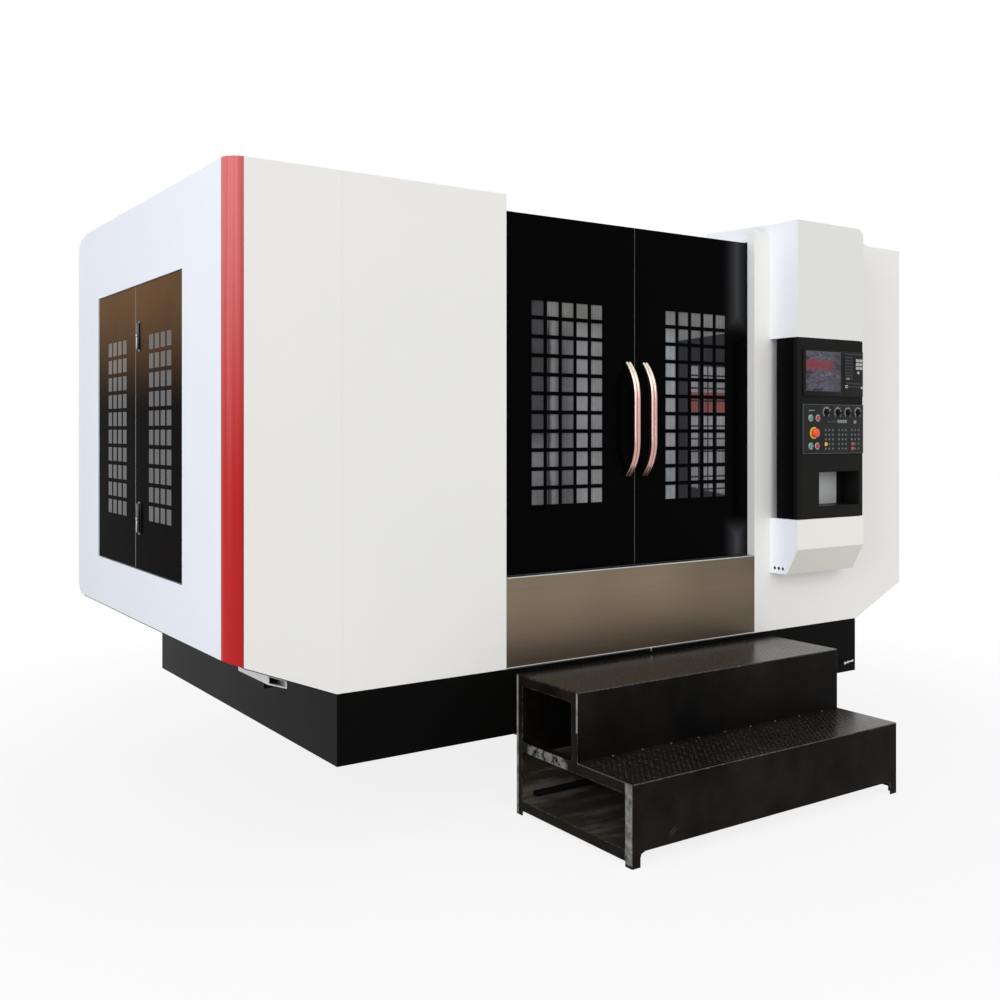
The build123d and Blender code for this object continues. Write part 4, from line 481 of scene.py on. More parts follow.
def corner_enamel():
    """Gloss red on the rolled corner column: upright streaks, and a streaked painted highlight that makes it
    paler and pinker towards its head.
    """
    material, add, place = new_finish("powder_coat_gloss_red")
    streaks = streaked(add, place, (110.0, 110.0, 0.7), Detail=3.0)
    tone = add("Mix", {0: streaks, 6: "#9d1113", 7: "#b51b1b"}, data_type="RGBA")
    parts = add("SeparateXYZ", {0: place}).outputs
    # Painted highlight towards the column's head.
    rise = add("MapRange", {"Value": parts[2], "From Min": 1.3, "From Max": 2.7, "To Max": 0.62},
               interpolation_type="SMOOTHSTEP")
    soft = add("Math", {0: rise, 1: streaks}, operation="MULTIPLY")
    soft = add("Math", {0: soft, 1: 1.7}, operation="MULTIPLY")
    tone = add("Mix", {0: soft, 6: tone, 7: "#dd8480"}, data_type="RGBA")
    return close_finish(material, {
        "Base Color": tone, "Roughness": 0.24, "Specular IOR Level": 0.2})


def lit_display():
    """A lit panel display behind glass: dark blue with pale wisps, and one muted red field."""
    material, add, place = new_finish("display_glass_lit")
    warp = add("TexNoise", {"Vector": place, "Scale": 9.0, "Detail": 3.0})
    bent = add("VectorMath", {0: warp.outputs[1], "Scale": 0.06}, operation="SCALE")
    bent = add("VectorMath", {0: place, 1: bent}, operation="ADD")
    wisps = streaked(add, bent, (5.0, 5.0, 15.0), Scale=1.6, Detail=7.0, Roughness=0.72)
    ramp = add("ValToRGB", {0: wisps})
    set_stops(ramp.color_ramp, ((0.3, "#201f28"), (0.43, "#302f3b"), (0.52, "#595661"), (0.58, "#353340"),
                                (0.66, "#746f7c"), (0.8, "#4b4854")))
    red = box_mask(add, bent, (POD_LEFT + 30, PLATE_FACE - 150, 1930),
                   (POD_LEFT + 290, PLATE_FACE + 250, 1972), 0.016)
    field = add("Mix", {0: red, 6: ramp, 7: "#76313a"}, data_type="RGBA")
    parts = add("SeparateXYZ", {0: place}).outputs
    edge = (CORNER_X + POD_LEFT + WINDOW_RIGHT) / 1000
    fade = add("MapRange", {
        "Value": parts[0], "From Min": edge - 0.1, "From Max": edge, "To Min": 1.0, "To Max": 0.45})
    tone = add("VectorMath", {0: field, "Scale": fade}, operation="SCALE")
    return close_finish(material, {
        "Base Color": tone, "Roughness": 0.18, "Specular IOR Level": 0.15,
        "Emission Color": tone, "Emission Strength": 0.1})


apron_steel = brushed_stainless()
step_paint = worn_paint("black_paint_worn", "#0b0a09", "#1d1916", "#8f8e8b", 3, 0.4, **gloss(0.03))
tread_paint = worn_paint("black_paint_trodden", "#151311", "#221e1b", "#7a7975", 2, 0.24, **gloss(0.46))
# Painted reflections of the hall in the front panes: bands of grey across the leaves, a grey band at their head
# and a doorway in the right leaf.
pane_glass = tinted_glass("safety_glass_ribbed", (
    (1340, "#3a3a3d"), (1424, "#434346"), (1462, "#39393c"), (1470, "#87888b"), (1521, "#55565a"),
    (1586, "#67686b"), (1602, "#8a8b8e"), (1748, "#858689"), (2126, "#9a9fa4"), (2191, "#8f9499"),
    (2207, "#7c7d81"), (2515, "#727377")), 2.03, "#7f7e7d", with_doorway=True)
# Painted reflection of a warm room at the head of the side panes.
side_glass = tinted_glass("safety_glass_side", (
    (500, "#3f3c40"), (925, "#413e42"), (1240, "#302d2f"), (1700, "#322f31")), 1.8, "#4f4033")
handle_chrome = warm_chrome()
side_enamel = side_door_enamel()
door_gloss = door_enamel()
corner_red = corner_enamel()
display_glass = lit_display()

for material, node_names in (
    (cast_paint, "bed column saddle head changer_housing"), (ground_iron, "table"),
    (ground_steel, "linear_rails x_rails y_screw x_screw z_screw spindle change_arm"),
    (bright_zinc, "levelling_feet"), (turned_aluminium, "magazine"),
    (motor_black, "axis_motors x_motor spindle_motor"), (drive_plastic, "drive_units"),
    (powder_white, "right_wall front_left_panels front_right_panel electrical_cabinet cabinet_door"),
    (powder_cool, "left_wall"), (powder_inner, "rear_walls roof_panels"),
    (powder_pod, "duct_cover console_upper_housing"), (powder_low_pod, "console_lower_housing"),
    (console_black, "console_body"), (satin_black, "side_pans base_skirt"), (corner_red, "corner_column"),
    (door_gloss, "left_door right_door"), (pane_glass, "left_door_glass right_door_glass"),
    (side_enamel, "side_door_front side_door_rear"), (side_glass, "side_glass_front side_glass_rear"),
    (apron_steel, "apron"), (primer_grey, "top_beam door_rails"), (step_paint, "step_frame"),
    (tread_paint, "step_treads"), (tank_paint, "coolant_tank"),
):
    for node_name in node_names.split():
        for material_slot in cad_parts[node_name].material_slots:
            material_slot.link = "OBJECT"
            material_slot.material = material

# Rounded sheet edges catch light; the modifier leaves the solid's own vertices alone.
for radius, node_names in (
    (1.2, "corner_column step_treads"), (1.5, "apron base_skirt"),
    (2.0, "left_wall right_wall console_body duct_cover electrical_cabinet cabinet_door"),
    (2.2, "front_left_panels front_right_panel"), (2.5, "console_upper_housing console_lower_housing"),
    (5.0, "saddle"), (6.0, "head column bed"),
):
    for node_name in node_names.split():
        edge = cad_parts[node_name].modifiers.new("rounded_edges", "BEVEL")
        edge.width = radius / 1000
        edge.segments = 2
        edge.limit_method = "ANGLE"
        edge.angle_limit = math.radians(35)
        edge.use_clamp_overlap = True


# Mesh tools


def bar(mesh, x0, x1, y0, y1, z0, z1, radius=0.0, segments=2):
    """A bar between two corners with its edges rounded."""
    centre = (corner(x0, y0, z0) + corner(x1, y1, z1)) / 2
    made = bmesh.ops.create_cube(mesh, size=1.0)["verts"]
    for vertex in made:
        vertex.co.x = centre.x + vertex.co.x * (x1 - x0) / 1000
        vertex.co.y = centre.y + vertex.co.y * (y1 - y0) / 1000
        vertex.co.z = centre.z + vertex.co.z * (z1 - z0) / 1000
    if radius:
        edges = list({e for v in made for e in v.link_edges})
        bmesh.ops.bevel(mesh, geom=edges, offset=radius / 1000, segments=segments, affect="EDGES", profile=0.5)


def pod_bar(mesh, x0, x1, *rest):
    """A bar whose x counts from the console's left side."""
    bar(mesh, POD_LEFT + x0, POD_LEFT + x1, *rest)


def skin(mesh, rows):
    """Faces between rows of vertices that go round; a row of one vertex is a tip."""
    for row, following in zip(rows, rows[1:]):
        count = max(len(row), len(following))
        for i in range(count):
            j = (i + 1) % count
            if len(row) == 1:
                mesh.faces.new((row[0], following[i], following[j]))
            elif len(following) == 1:
                mesh.faces.new((row[i], following[0], row[j]))
            else:
                mesh.faces.new((row[i], following[i], following[j], row[j]))


def turned(mesh, place, out, profile, sides=48):
    """A turned shape: profile lists (radius, height) along a direction from a place, in millimetres."""
    out = Vector(out).normalized()
    side = out.orthogonal().normalized()
    up = out.cross(side)
    rings = []
    for radius, height in profile:
        centre = place + out * height / 1000
        if radius == 0:
            rings.append([mesh.verts.new(centre)])
            continue
        rings.append([
            mesh.verts.new(centre + (side * math.cos(a) + up * math.sin(a)) * radius / 1000)
            for a in (2 * math.pi * i / sides for i in range(sides))
        ])
    skin(mesh, rings)


def swept(mesh, rings):
    """Skins closed rings of points into a tube with flat ends."""
    rows = [[mesh.verts.new(p) for p in ring] for ring in rings]
    skin(mesh, rows)
    mesh.faces.new(rows[0])
    mesh.faces.new(list(reversed(rows[-1])))


def extruded(mesh, outline, y_near, y_far):
    """A profile seen from the front, carried from one depth to another."""
    swept(mesh, [[corner(x, y, z) for x, z in outline] for y in (y_near, y_far)])


def lozenge(mesh, x, y, low, height, degrees):
    """A raised lozenge of chequer plate, turned about the upright, with its top drawn in."""
    turn = math.radians(degrees)
    along = Vector((math.cos(turn), math.sin(turn), 0)) * 0.0105
    across = Vector((-math.sin(turn), math.cos(turn), 0)) * 0.0036
    centre = corner(x, y, low - 0.3)
    lift = Vector((0, 0, (height + 0.3) / 1000))
    ends = (-along, -across, along, across)
    swept(mesh, [[centre + end for end in ends], [centre + end * 0.55 + lift for end in ends]])


def piece(name, material, body, slot, shapes, node=None, smooth=True):
    """Makes an object of shapes, each a mesh tool and its arguments; it rides on a body, may replace a node."""
    mesh = bmesh.new()
    for tool, *arguments in shapes:
        tool(mesh, *arguments)
    bmesh.ops.recalc_face_normals(mesh, faces=mesh.faces)
    data = bpy.data.meshes.new(name)
    mesh.to_mesh(data)
    mesh.free()
    shown = bpy.data.objects.new(name, data)
    bpy.context.scene.collection.objects.link(shown)
    data.materials.append(material)
    if smooth:
        data.polygons.foreach_set("use_smooth", [True] * len(data.polygons))
        data.set_sharp_from_angle(angle=math.radians(38))
    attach(shown, body)
    if node:
        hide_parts(node)


# Door handles


def handle_section():
    """Outline across the handle's bar: flat back, two polished ridges and the groove between them."""
    points = [(-15, 0), (15, 0), (17, 4)]
    for ridge in (8.5, -8.5):
        for step in range(9):
            angle = math.radians(-20 + 220 * step / 8)
            points.append((ridge + 8.5 * math.cos(angle), 18 + 8.5 * math.sin(angle)))
    points.append((-17, 4))
    return points


def bow(x):
    """Rings of a bow of grooved bar that leaves the leaf steeply and eases into a straight grip."""
    stand, bend, ease = 62, 170, 2.6
    core = 12
    line = []
    for step in range(23):
        share = (step / 22) ** 1.3
        lean = math.atan2(ease * stand * (1 - share) ** (ease - 1), bend)
        line.append((DOOR_FACE - 8 - stand * (1 - (1 - share) ** ease), HANDLE_LOW + core + bend * share, lean))
    line += [(y, HANDLE_LOW + HANDLE_TOP - z, -lean) for y, z, lean in reversed(line)]
    rings = []
    for y, z, lean in line:
        out_y, out_z = -math.cos(lean), -math.sin(lean)
        rings.append([corner(x + across, y + out_y * (out - core), z + out_z * (out - core))
                      for across, out in handle_section()])
    return rings


for side, x in (("left", SEAM - 50), ("right", SEAM + 50)):
    piece(f"{side}_bow", handle_chrome, f"{side}_door_group", "handle_chrome", [(swept, bow(x))],
          f"{side}_door_handle")

# Bright trims, drain tap, duct parts, and the strips that show in the seams

piece("apron_trims", bright_zinc, "machine", "frame_steel", [
    (bar, OPENING_LEFT + 2, OPENING_RIGHT - 2, -2.5, 0.5, 984, 989.5, 1),
    (bar, OPENING_LEFT + 2, OPENING_RIGHT - 2, -3, 0.5, SKIRT_TOP - 1, SKIRT_TOP + 6, 1),
    (bar, 1985, 1993, -5, 0, SKIRT_TOP - 14, SKIRT_TOP + 6, 1)])
piece("drain_tap", turned_aluminium, "machine", "frame_steel", [
    (turned, corner(3330, -13, 384), (1, 0, 0.1), [(0, 0), (4, 0), (4, 46), (5.5, 48), (5.5, 58), (0, 60)], 20),
    (turned, corner(3322, -13, 383), (1, 0, 0.1), [(0, -9), (6, -7), (8.5, 0), (6, 7), (0, 9)], 20),
    (turned, corner(3350, 0.5, 386), (0, -1, 0), [(7, 0), (7, 14), (0, 16)], 20)])
# The white cable duct whose open end looks out under the left panel.
piece("duct_sleeve", powder_inner, "machine", "white_coat", [
    (extruded, [(163.5, 706), (167.5, 704.6), (167.5, 671), (163.5, 672)], 28, 330),
    (extruded, [(167.5, 704.6), (236, 678), (236, 673.5), (167.5, 700)], 28, 79.5),
    (extruded, [(167.5, 676), (236, 652.5), (236, 648), (167.5, 671)], 28, 79.5),
    (extruded, [(232, 674.9), (236, 673.5), (236, 652.5), (232, 653.9)], 28, 79.5)], smooth=False)
# The low fairing that ends the duct cover on top of the right panel: its end falls away in an arc.
fairing = [(3262, 2586.2)]
for degrees in range(0, 100, 10):
    a = math.radians(degrees)
    fairing.append((3545 - 62 * math.sin(a), 2586.2 + 31 * (1 - math.cos(a))))
piece("duct_end_fairing", powder_pod, "machine", "white_coat", [
    (extruded, fairing + [(3474, 2619), (3262, 2619)], 1, 52)])
for name, material, body, slot, place in (
    ("duct_side_filler", powder_pod, "machine", "white_coat",
     (2771.4, 2775.2, 140, 245, 2558, PANEL_TOP, 0.6)),
    ("leaf_seam_strip", primer_grey, "right_door_group", "frame_steel",
     (SEAM - 1.9, SEAM + 1.2, DOOR_FACE + 2, DOOR_FACE + 20, DOOR_LOW + 2, DOOR_TOP - 2)),
    ("panel_seam_strip", powder_white, "machine", "white_coat",
     (444.7, 447.3, 0.7, 8, SKIRT_TOP + 2, PANEL_TOP - 1)),
    ("side_seam_strip", primer_grey, "side_rear_group", "frame_steel",
     (2.5, 20, 1145.2, 1147.6, 1002, 2232)),
):
    piece(name, material, body, slot, [(bar, *place)])

# Service doors: raised panes and latches

for end, middle in (("front", 804), ("rear", 1447)):
    piece(f"side_panes_{end}", side_glass, f"side_{end}_group", "grey_glass", [
        (bar, 4.9, 7.8, y - HALF_PANE, y + HALF_PANE, z - HALF_PANE, z + HALF_PANE, 0.4, 1)
        for y in (middle + (column - 1.5) * PANE_PITCH for column in range(4))
        for z in (1614 + (row - 4.5) * PANE_PITCH for row in range(10))])
latch_y = 1086
plates, levers = [], []
for low, high in ((1149, 1293), (1945, 2078)):
    plates += [(bar, 0.5, 4.2, latch_y - 15, latch_y + 15, low, high, 1.5),
               (bar, -9, 1, latch_y - 12, latch_y + 12, low + 8, high - 8, 4, 3)]
    levers += [(bar, -12, -8, latch_y - 3, latch_y + 3, low + 14, low + 62, 1.5, 2),
               (turned, corner(-8, latch_y, low + 70), (-1, 0, 0), [(6, -1), (6, 4), (5, 5), (0, 5)], 24)]
piece("side_latch_plates", cast_zinc, "side_front_group", "latch_steel", plates, "side_door_latches")
piece("side_latch_levers", turned_aluminium, "side_front_group", "latch_steel", levers)

# Display unit and operator panel

piece("display_case", bezel_plastic, *ON_PLATES, [
    (pod_bar, CASE_LEFT, PLATE_RIGHT, PLATE_FACE + 1, POD_FACE, CASE_LOW, CASE_TOP, 3),
    (pod_bar, CASE_LEFT, BEZEL_RIGHT, PLATE_FACE, PLATE_FACE + 2, WINDOW_TOP, CASE_TOP, 1),
    (pod_bar, CASE_LEFT, BEZEL_RIGHT, PLATE_FACE, PLATE_FACE + 2, CASE_LOW, WINDOW_LOW, 1),
    (pod_bar, CASE_LEFT, WINDOW_LEFT, PLATE_FACE, PLATE_FACE + 2, WINDOW_LOW, WINDOW_TOP, 1),
    (pod_bar, WINDOW_RIGHT, BEZEL_RIGHT, PLATE_FACE, PLATE_FACE + 2, WINDOW_LOW, WINDOW_TOP, 1)],
    "display_unit")
piece("display_window", display_glass, *ON_PLATES, [
    (pod_bar, WINDOW_LEFT, WINDOW_RIGHT, PLATE_FACE + 0.4, PLATE_FACE + 2, WINDOW_LOW, WINDOW_TOP, 0.4)])


def key_rows(name, material, *groups):
    """Moulded keys. Each group: its middle, a key's width, height and rise, then columns, rows and pitches."""
    shapes = []
    for x, z, wide, tall, proud, *grid in groups:
        columns, rows, pitch_x, pitch_z = grid or (1, 1, 0, 0)
        for column in range(columns):
            for row in range(rows):
                key_x = POD_LEFT + x + (column - (columns - 1) / 2) * pitch_x
                key_z = z + (row - (rows - 1) / 2) * pitch_z
                shapes.append((bar, key_x - wide / 2, key_x + wide / 2, PLATE_FACE - proud, PLATE_FACE + 1.5,
                               key_z - tall / 2, key_z + tall / 2, min(1.6, wide / 5)))
    piece(name, material, *ON_PLATES, shapes)


key_rows("display_keys_dark", key_plastic, (366, 1915, 12, 11, 3, 4, 8, 14.5, 15),
         (402, 1830, 12, 11, 3, 8, 2, 15, 16), (402, 1985, 130, 9, 1.2))
key_rows("display_keys_pale", key_white, (447, 1935, 23, 15, 3, 2, 3, 26, 19), (440, 1893, 15, 13, 3),
         (350, 1822, 17, 15, 3), (357, 1862, 14, 11, 3, 2, 1, 17, 0), (466, 1818, 15, 12, 3))
piece("operator_plate", panel_plastic, *ON_PLATES, [
    (pod_bar, OPERATOR_LEFT, PLATE_RIGHT, PLATE_FACE, POD_FACE, OPERATOR_LOW, OPERATOR_TOP, 2.5)],
    "operator_panel")
piece("operator_plate_border", border_grey, *ON_PLATES, [
    (pod_bar, OPERATOR_LEFT, right, PLATE_FACE - 1.6, PLATE_FACE + 1, low, high, 0.5) for right, low, high in (
        (PLATE_RIGHT, OPERATOR_TOP - 3, OPERATOR_TOP), (PLATE_RIGHT, OPERATOR_LOW, OPERATOR_LOW + 2.5),
        (OPERATOR_LEFT + 3, OPERATOR_LOW + 2.5, OPERATOR_TOP - 3))])
key_rows("operator_keys", key_plastic, *((x, 1558, 19, 17, 3, 3, 5, 26, 23) for x in KEY_BLOCKS),
         (240, 1645, 70, 12, 1.0))
key_rows("operator_key_marks", key_mark, *((x, 1558, 8, 6, 3.4, 3, 5, 26, 23) for x in KEY_BLOCKS),
         (316, 1647, 13, 16, 3, 4, 1, 18, 0), (414, 1645, 18, 15, 3),
         (222, 1706, 30, 4, 0.6), (92, 1700, 44, 5, 0.6))
key_rows("operator_key_yellow", ring_yellow, (194, 1535, 20, 18, 3.8))
key_rows("operator_keys_red", button_red, (394, 1535, 19, 17, 3.8), (394, 1512, 19, 17, 3.8))

# Push buttons, lamps and the emergency stop


def facing_out(x, z, profile, sides=48, sunk=0.0):
    """A turned shape that stands out from the console's plates."""
    return turned, corner(POD_LEFT + x, PLATE_FACE + sunk, z), (0, -1, 0), profile, sides


COLLAR = 16.6
CAP = 13.2
CAP_RISE = 9
collar_profile = [(COLLAR, -0.5), (COLLAR, 2.4), (COLLAR - 1.2, 3.2), (COLLAR - 3, 3.2), (COLLAR - 3, -0.5)]
cap_profile = [(0, 0), (CAP * 0.9, 0), (CAP * 0.9, 3), (CAP, 3.2), (CAP, CAP_RISE),
               (CAP * 0.93, CAP_RISE + 1.6), (CAP * 0.7, CAP_RISE + 2.4), (0, CAP_RISE + 2.6)]
buttons = (
    ("start", 84, 1526, "start_cap", button_green, "start_group", "button_green", "start_button"),
    ("stop", 131, 1526, "stop_cap", button_red, "stop_group", "button_red", "stop_button"),
    ("green_lamp", 84, 1663, "green_lamp", button_green, *ON_PLATES, None),
    ("red_lamp", 136, 1663, "red_lamp", button_red, *ON_PLATES, None))
for label, x, z, *_ in buttons:
    piece(f"{label}_collar", turned_aluminium, *ON_PLATES, [facing_out(x, z, collar_profile, 40)])
for _, x, z, name, material, body, slot, node in buttons:
    piece(name, material, body, slot, [facing_out(x, z, cap_profile, sunk=3.5)], node)
piece("stop_ring", ring_yellow, *ON_PLATES, [
    facing_out(107, 1590, [(29, -0.5), (29, 2), (27.5, 2.8), (12.4, 2.8), (12.4, -0.5)], 64)])
piece("stop_mushroom", stop_plastic, "e_stop_group", "stop_red", [facing_out(107, 1590, [
    (0, -3.4), (12, -3.4), (12, 7), (18, 7), (21.4, 8.5), (22.5, 12), (22.5, 17), (21, 20.5), (17, 23),
    (10, 24.6), (0, 25)], 64)], "e_stop")

# Selector knobs with fluted skirts, and their printed scales: 23 marks over 270 degrees

marks = []
flutes = [(a, 16.5 + 0.6 * math.cos(16 * a)) for a in (2 * math.pi * i / 48 for i in range(48))]
for number, (x, z) in enumerate(((199, 1693), (285, 1692), (361, 1692), (438, 1693)), 1):
    for step in range(23):
        angle = math.radians(-135 + 270 / 22 * step)
        for reach in (20.5, 23.0) if step % 2 else (20.5, 23.0, 25.5, 27.5):
            mark_x = POD_LEFT + x + math.sin(angle) * reach
            mark_z = z + math.cos(angle) * reach
            marks.append((bar, mark_x - 1.5, mark_x + 1.5, PLATE_FACE - 0.3, PLATE_FACE + 0.5,
                          mark_z - 1.5, mark_z + 1.5))
    skirt = [[corner(POD_LEFT + x + r * share * math.sin(a), PLATE_FACE - depth, z + r * share * math.cos(a))
              for a, r in flutes]
             for depth, share in ((0.2, 1.0), (5, 1.0), (6, 0.8), (15, 0.74), (16.5, 0.66))]
    on_dial = (f"dial_{number}_group", "dial_black")
    piece(f"knob_{number}", knob_plastic, *on_dial, [
        (swept, skirt), (pod_bar, x - 3.5, x + 3.5, PLATE_FACE - 19, PLATE_FACE - 14, z - 11, z + 14, 1.2)],
        f"dial_{number}")
    piece(f"knob_{number}_line", key_white, *on_dial, [
        (pod_bar, x - 1.2, x + 1.2, PLATE_FACE - 19.4, PLATE_FACE - 18.8, z + 2, z + 13)])
piece("knob_scales", key_white, *ON_PLATES, marks)

# Console pocket: a back plate of white panel made grey with painted shade, the black inner wall at its right,
# and black strips of painted shade on the back beside that wall and under its top

lining_near, lining_far, pocket_back = POD_FACE + 2, POD_FACE + 107, POD_FACE + 111.8
piece("pocket_back", lining_grey, "console_group", "black_satin", [
    (pod_bar, POCKET_LEFT, 415, POD_FACE + 109, pocket_back, POCKET_LOW, POCKET_TOP, 0.8)])
piece("pocket_lining", seal_rubber, "console_group", "black_satin", [
    (pod_bar, 416, 453, POD_FACE + 108, pocket_back, POCKET_LOW, POCKET_TOP, 0.8),
    (pod_bar, 450.5, 453.6, lining_near, lining_far, POCKET_LOW, POCKET_TOP, 0.8),
    (pod_bar, POCKET_LEFT, 450, lining_near, lining_far, POCKET_TOP - 2.5, POCKET_TOP + 0.6, 0.8)])

# Steps: chequered treads, tack welds along the riser, and a black bar inside the lower step

CHEQUER_X, CHEQUER_Y = 26, 17
piece("tread_lozenges", tread_paint, "machine", "step_black", [
    (lozenge, STEP_LEFT + 22 + column * CHEQUER_X + (13 if row % 2 else 0), y_near + 20 + row * CHEQUER_Y,
     low, height, 45 if (row + column) % 2 else -45)
    for low, y_near, y_far, height in ((STEP_LOW, STEP_FRONT, STEP_BREAK, 0.4), (STEP_HIGH, STEP_BREAK, 0, 0.3))
    for row in range(int((y_far - y_near - 24) / CHEQUER_Y))
    for column in range(int((STEP_RIGHT - STEP_LEFT - 30) / CHEQUER_X))], smooth=False)
piece("riser_tack_welds", ground_iron, "machine", "step_black", [
    (turned, corner(STEP_LEFT + 175 + i * 155, STEP_BREAK - 3, STEP_LOW - 1), (0, 0, 1),
     [(0, -1), (3.5, 0), (4, 2), (3, 3.5), (0, 4.5)], 14) for i in range(9)])
piece("step_inner_rail", seal_rubber, "machine", "step_black", [
    (bar, STEP_LEFT + 82, STEP_RIGHT - 82, -34, -4, 60.3, 80, 2)])

# Rear side: pump motors on the tank, cabinet fittings and sheet screws


def extent(node):
    """Lowest and highest corner of a CAD solid, in the millimetres that corner() takes."""
    return [(c.x * 1000 - CORNER_X, c.y * 1000 - CORNER_Y, c.z * 1000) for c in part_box(node)]


(tank_left, tank_front, _), (tank_right, tank_back, _) = extent("coolant_tank")
PUMP_FLANGE = 530
ribs, caps, outlets = [], [], []
for x in (tank_left + 200, tank_left + 460):
    y = tank_front + 170
    foot = corner(x, y, PUMP_FLANGE)
    caps += [
        (turned, foot, (0, 0, 1), [
            (64.5, 126), (70, 130), (70, 170), (66, 175), (30, 176), (27, 173), (0, 173)]),
        (turned, foot, (0, 0, 1), [(64.5, -0.4), (77, -0.4), (77, 9), (64.5, 12)]),
        (bar, x - 30, x + 30, y + 60, y + 96, 585, 655, 4)]
    for step in range(24):
        angle = 2 * math.pi * step / 24
        out = Vector((math.cos(angle), math.sin(angle), 0)) / 1000
        side = Vector((-math.sin(angle), math.cos(angle), 0)) / 1000
        ribs.append((swept, [
            [corner(x, y, z) + out * r + side * s for r, s in ((64, -1.5), (72, -1), (72, 1), (64, 1.5))]
            for z in (546, 652)]))
    outlets.append((turned, corner(x + 112, y + 46, 500), (0, 0, 1), [
        (24, -0.5), (24, 8), (13, 9), (13, 88), (19, 89), (19, 110), (13, 111), (13, 116), (0, 116)], 32))
piece("pump_motor_ribs", tank_paint, "machine", "tank_green", ribs)
piece("pump_motor_caps", motor_black, "machine", "motor_black", caps)
piece("pump_outlets", bright_zinc, "machine", "frame_steel", outlets)
piece("tank_gauge_and_plug", bright_zinc, "machine", "frame_steel", [
    (bar, tank_left + 900, tank_left + 932, tank_back - 0.5, tank_back + 8, 170, 400, 3),
    (turned, corner(tank_right - 60, tank_back - 0.5, 60), (0, 1, 0),
     [(20, 0), (20, 6), (14, 6.5), (14, 10), (0, 10)], 6)])
piece("tank_gauge_glass", side_glass, "machine", "grey_glass", [
    (bar, tank_left + 909, tank_left + 923, tank_back + 7, tank_back + 9.4, 190, 380, 1)])

(cabinet_left, cabinet_front, _), (_, _, cabinet_top) = extent("electrical_cabinet")
cabinet_right = cabinet_left + 1100
door_face = extent("cabinet_door")[1][1] - 25
loop = [(17 + 5 * math.cos(a), 5 * math.sin(a)) for a in (math.radians(45 * i) for i in range(9))]
eyes = []
for x in (cabinet_left + 60, cabinet_right - 60):
    for y in (cabinet_front + 60, cabinet_front + 390):
        eyes += [
            (turned, corner(x, y, cabinet_top), (0, 0, 1),
             [(0, -0.5), (20, -0.5), (20, 6), (11, 10), (0, 10)], 32),
            (turned, corner(x, y, cabinet_top + 28), (1, 0, 0), loop, 32)]
piece("cabinet_lifting_eyes", bright_zinc, "machine", "frame_steel", eyes)
piece("cabinet_door_locks", bright_zinc, "cabinet_door_group", "latch_steel", [
    (turned, corner(cabinet_left + 65, door_face - 0.5, z), (0, 1, 0),
     [(15, 0), (15, 3.5), (12, 5.5), (5, 5.5), (5, 3.5), (0, 3.5)], 32) for z in (760, 2260)])
switch_x, switch_z = cabinet_right - 175, 1900
piece("main_switch_plate", ring_yellow, "cabinet_door_group", "panel_plastic", [
    (bar, switch_x - 45, switch_x + 45, door_face - 0.5, door_face + 4, switch_z - 45, switch_z + 45, 1.5)])
piece("main_switch_handle", button_red, "cabinet_door_group", "stop_red", [
    (turned, corner(switch_x, door_face + 3.5, switch_z), (0, 1, 0),
     [(0, 0), (27, 0), (27, 6), (24, 9), (0, 9)]),
    (bar, switch_x - 6, switch_x + 6, door_face + 10, door_face + 22, switch_z - 28, switch_z + 28, 3)])
wall_back = extent("rear_walls")[1][1]
screw_places = [(x, z) for x in (32, 3762) for z in range(800, 2501, 283)]
screw_places += [(x, 2535) for x in (150, 480, 810)]
piece("rear_sheet_screws", bright_zinc, "machine", "frame_steel", [
    (turned, corner(x, wall_back - 0.5, z), (0, 1, 0),
     [(9, 0), (9, 2), (7, 4.5), (3.4, 5), (3.4, 3), (0, 3)], 20) for x, z in screw_places])

# Studio


def showing_rays(add):
    """One for rays that show a surface itself: the viewer's own, and those from gloss and glass."""
    rays = add("LightPath").outputs
    seen = add("Math", {0: rays["Is Camera Ray"], 1: rays["Is Glossy Ray"]}, operation="MAXIMUM")
    return add("Math", {0: seen, 1: rays["Is Transmission Ray"]}, operation="MAXIMUM")


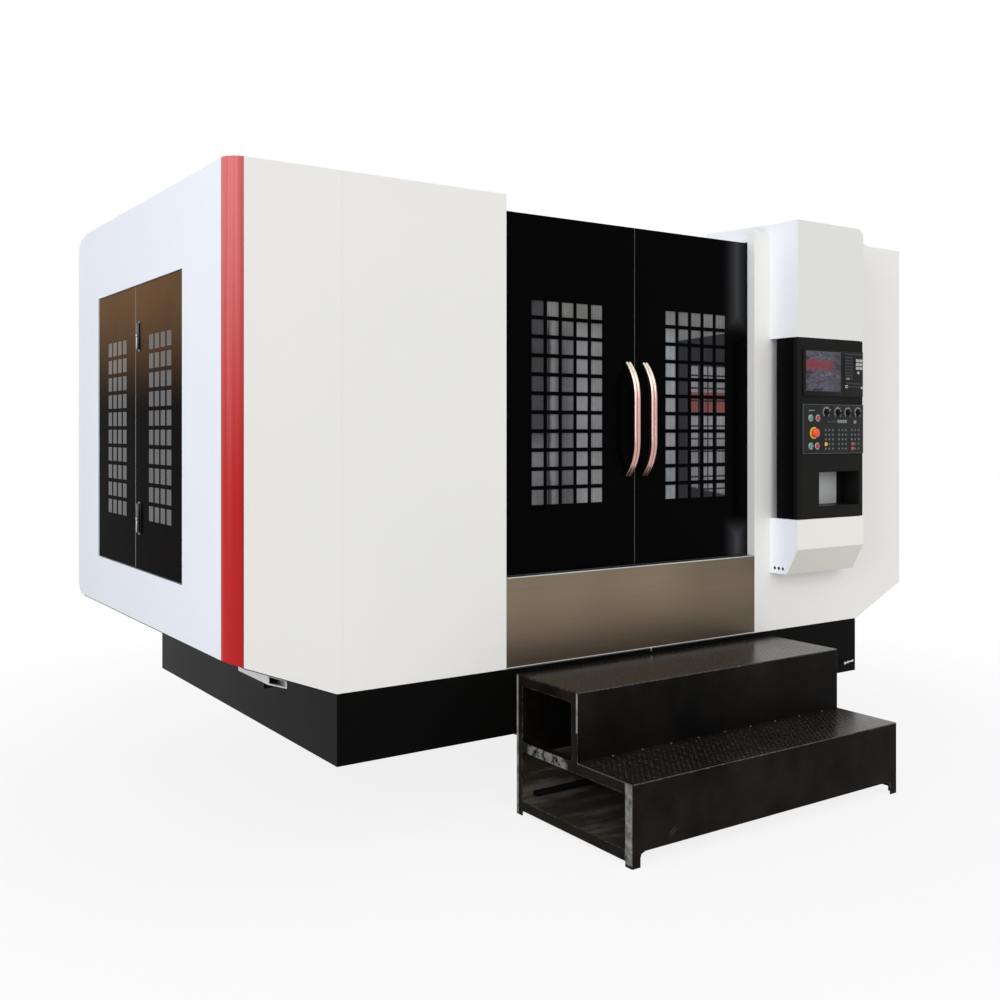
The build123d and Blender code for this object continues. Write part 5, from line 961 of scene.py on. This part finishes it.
floor_mesh = bpy.data.meshes.new("floor")
floor_mesh.from_pydata([(-40, -40, 0), (40, -40, 0), (40, 40, 0), (-40, 40, 0)], [], [(0, 1, 2, 3)])
floor = bpy.data.objects.new("floor", floor_mesh)
bpy.context.scene.collection.objects.link(floor)
# A matt floor, a little grey round the machine and plain white further out.
material, add, place = new_finish("studio_floor")
matt = add("BsdfDiffuse", {"Color": "#eeeeee"})
glow = add("Emission", {"Color": (1, 1, 1, 1), "Strength": 1.0})
away = add("VectorMath", {0: place}, operation="LENGTH")
far = add("MapRange", {
    "Value": away, "From Min": 2.2, "From Max": 4.6, "To Min": 0.84, "To Max": 1.0},
    interpolation_type="SMOOTHSTEP")
share = add("Math", {0: showing_rays(add), 1: far}, operation="MULTIPLY")
add("OutputMaterial", {"Surface": add("MixShader", {0: share, 1: matt, 2: glow})})
floor_mesh.materials.append(material)

world = bpy.data.worlds.new("studio")
bpy.context.scene.world = world
world.use_nodes = True
world.node_tree.nodes.clear()
add = partial(add_node, world.node_tree)
level = add("MapRange", {"Value": showing_rays(add), "To Min": 0.6, "To Max": 1.0})
sky = add("Background", {"Color": (1, 1, 1, 1), "Strength": level})
add("OutputWorld", {"Surface": sky})

# Two even wide lights, each shining along a direction.
for name, towards, strength, tint in (("front_light", (0.3, 0.85, -0.43), 0.95, "#fffcf7"),
                                      ("left_light", (0.95, 0.18, -0.25), 1.5, "#f1f5ff")):
    sun = bpy.data.lights.new(name, "SUN")
    sun.angle = 0.8
    sun.energy = strength
    sun.color = linear(tint)[:3]
    light = bpy.data.objects.new(name, sun)
    bpy.context.scene.collection.objects.link(light)
    light.rotation_euler = Vector(towards).to_track_quat("-Z", "Y").to_euler()

lens = bpy.data.cameras.new("view")
lens.lens = 40.33
lens.sensor_width = 36.0
lens.sensor_fit = "HORIZONTAL"
lens.shift_x = -0.0251
lens.shift_y = -0.0699
viewer = bpy.data.objects.new("view", lens)
bpy.context.scene.collection.objects.link(viewer)
viewer.location = (-3.298, -4.7695, 1.604)
viewer.rotation_euler = (math.radians(90), 0, math.radians(-34.9))
bpy.context.scene.camera = viewer
bpy.context.scene.view_settings.view_transform = "Standard"
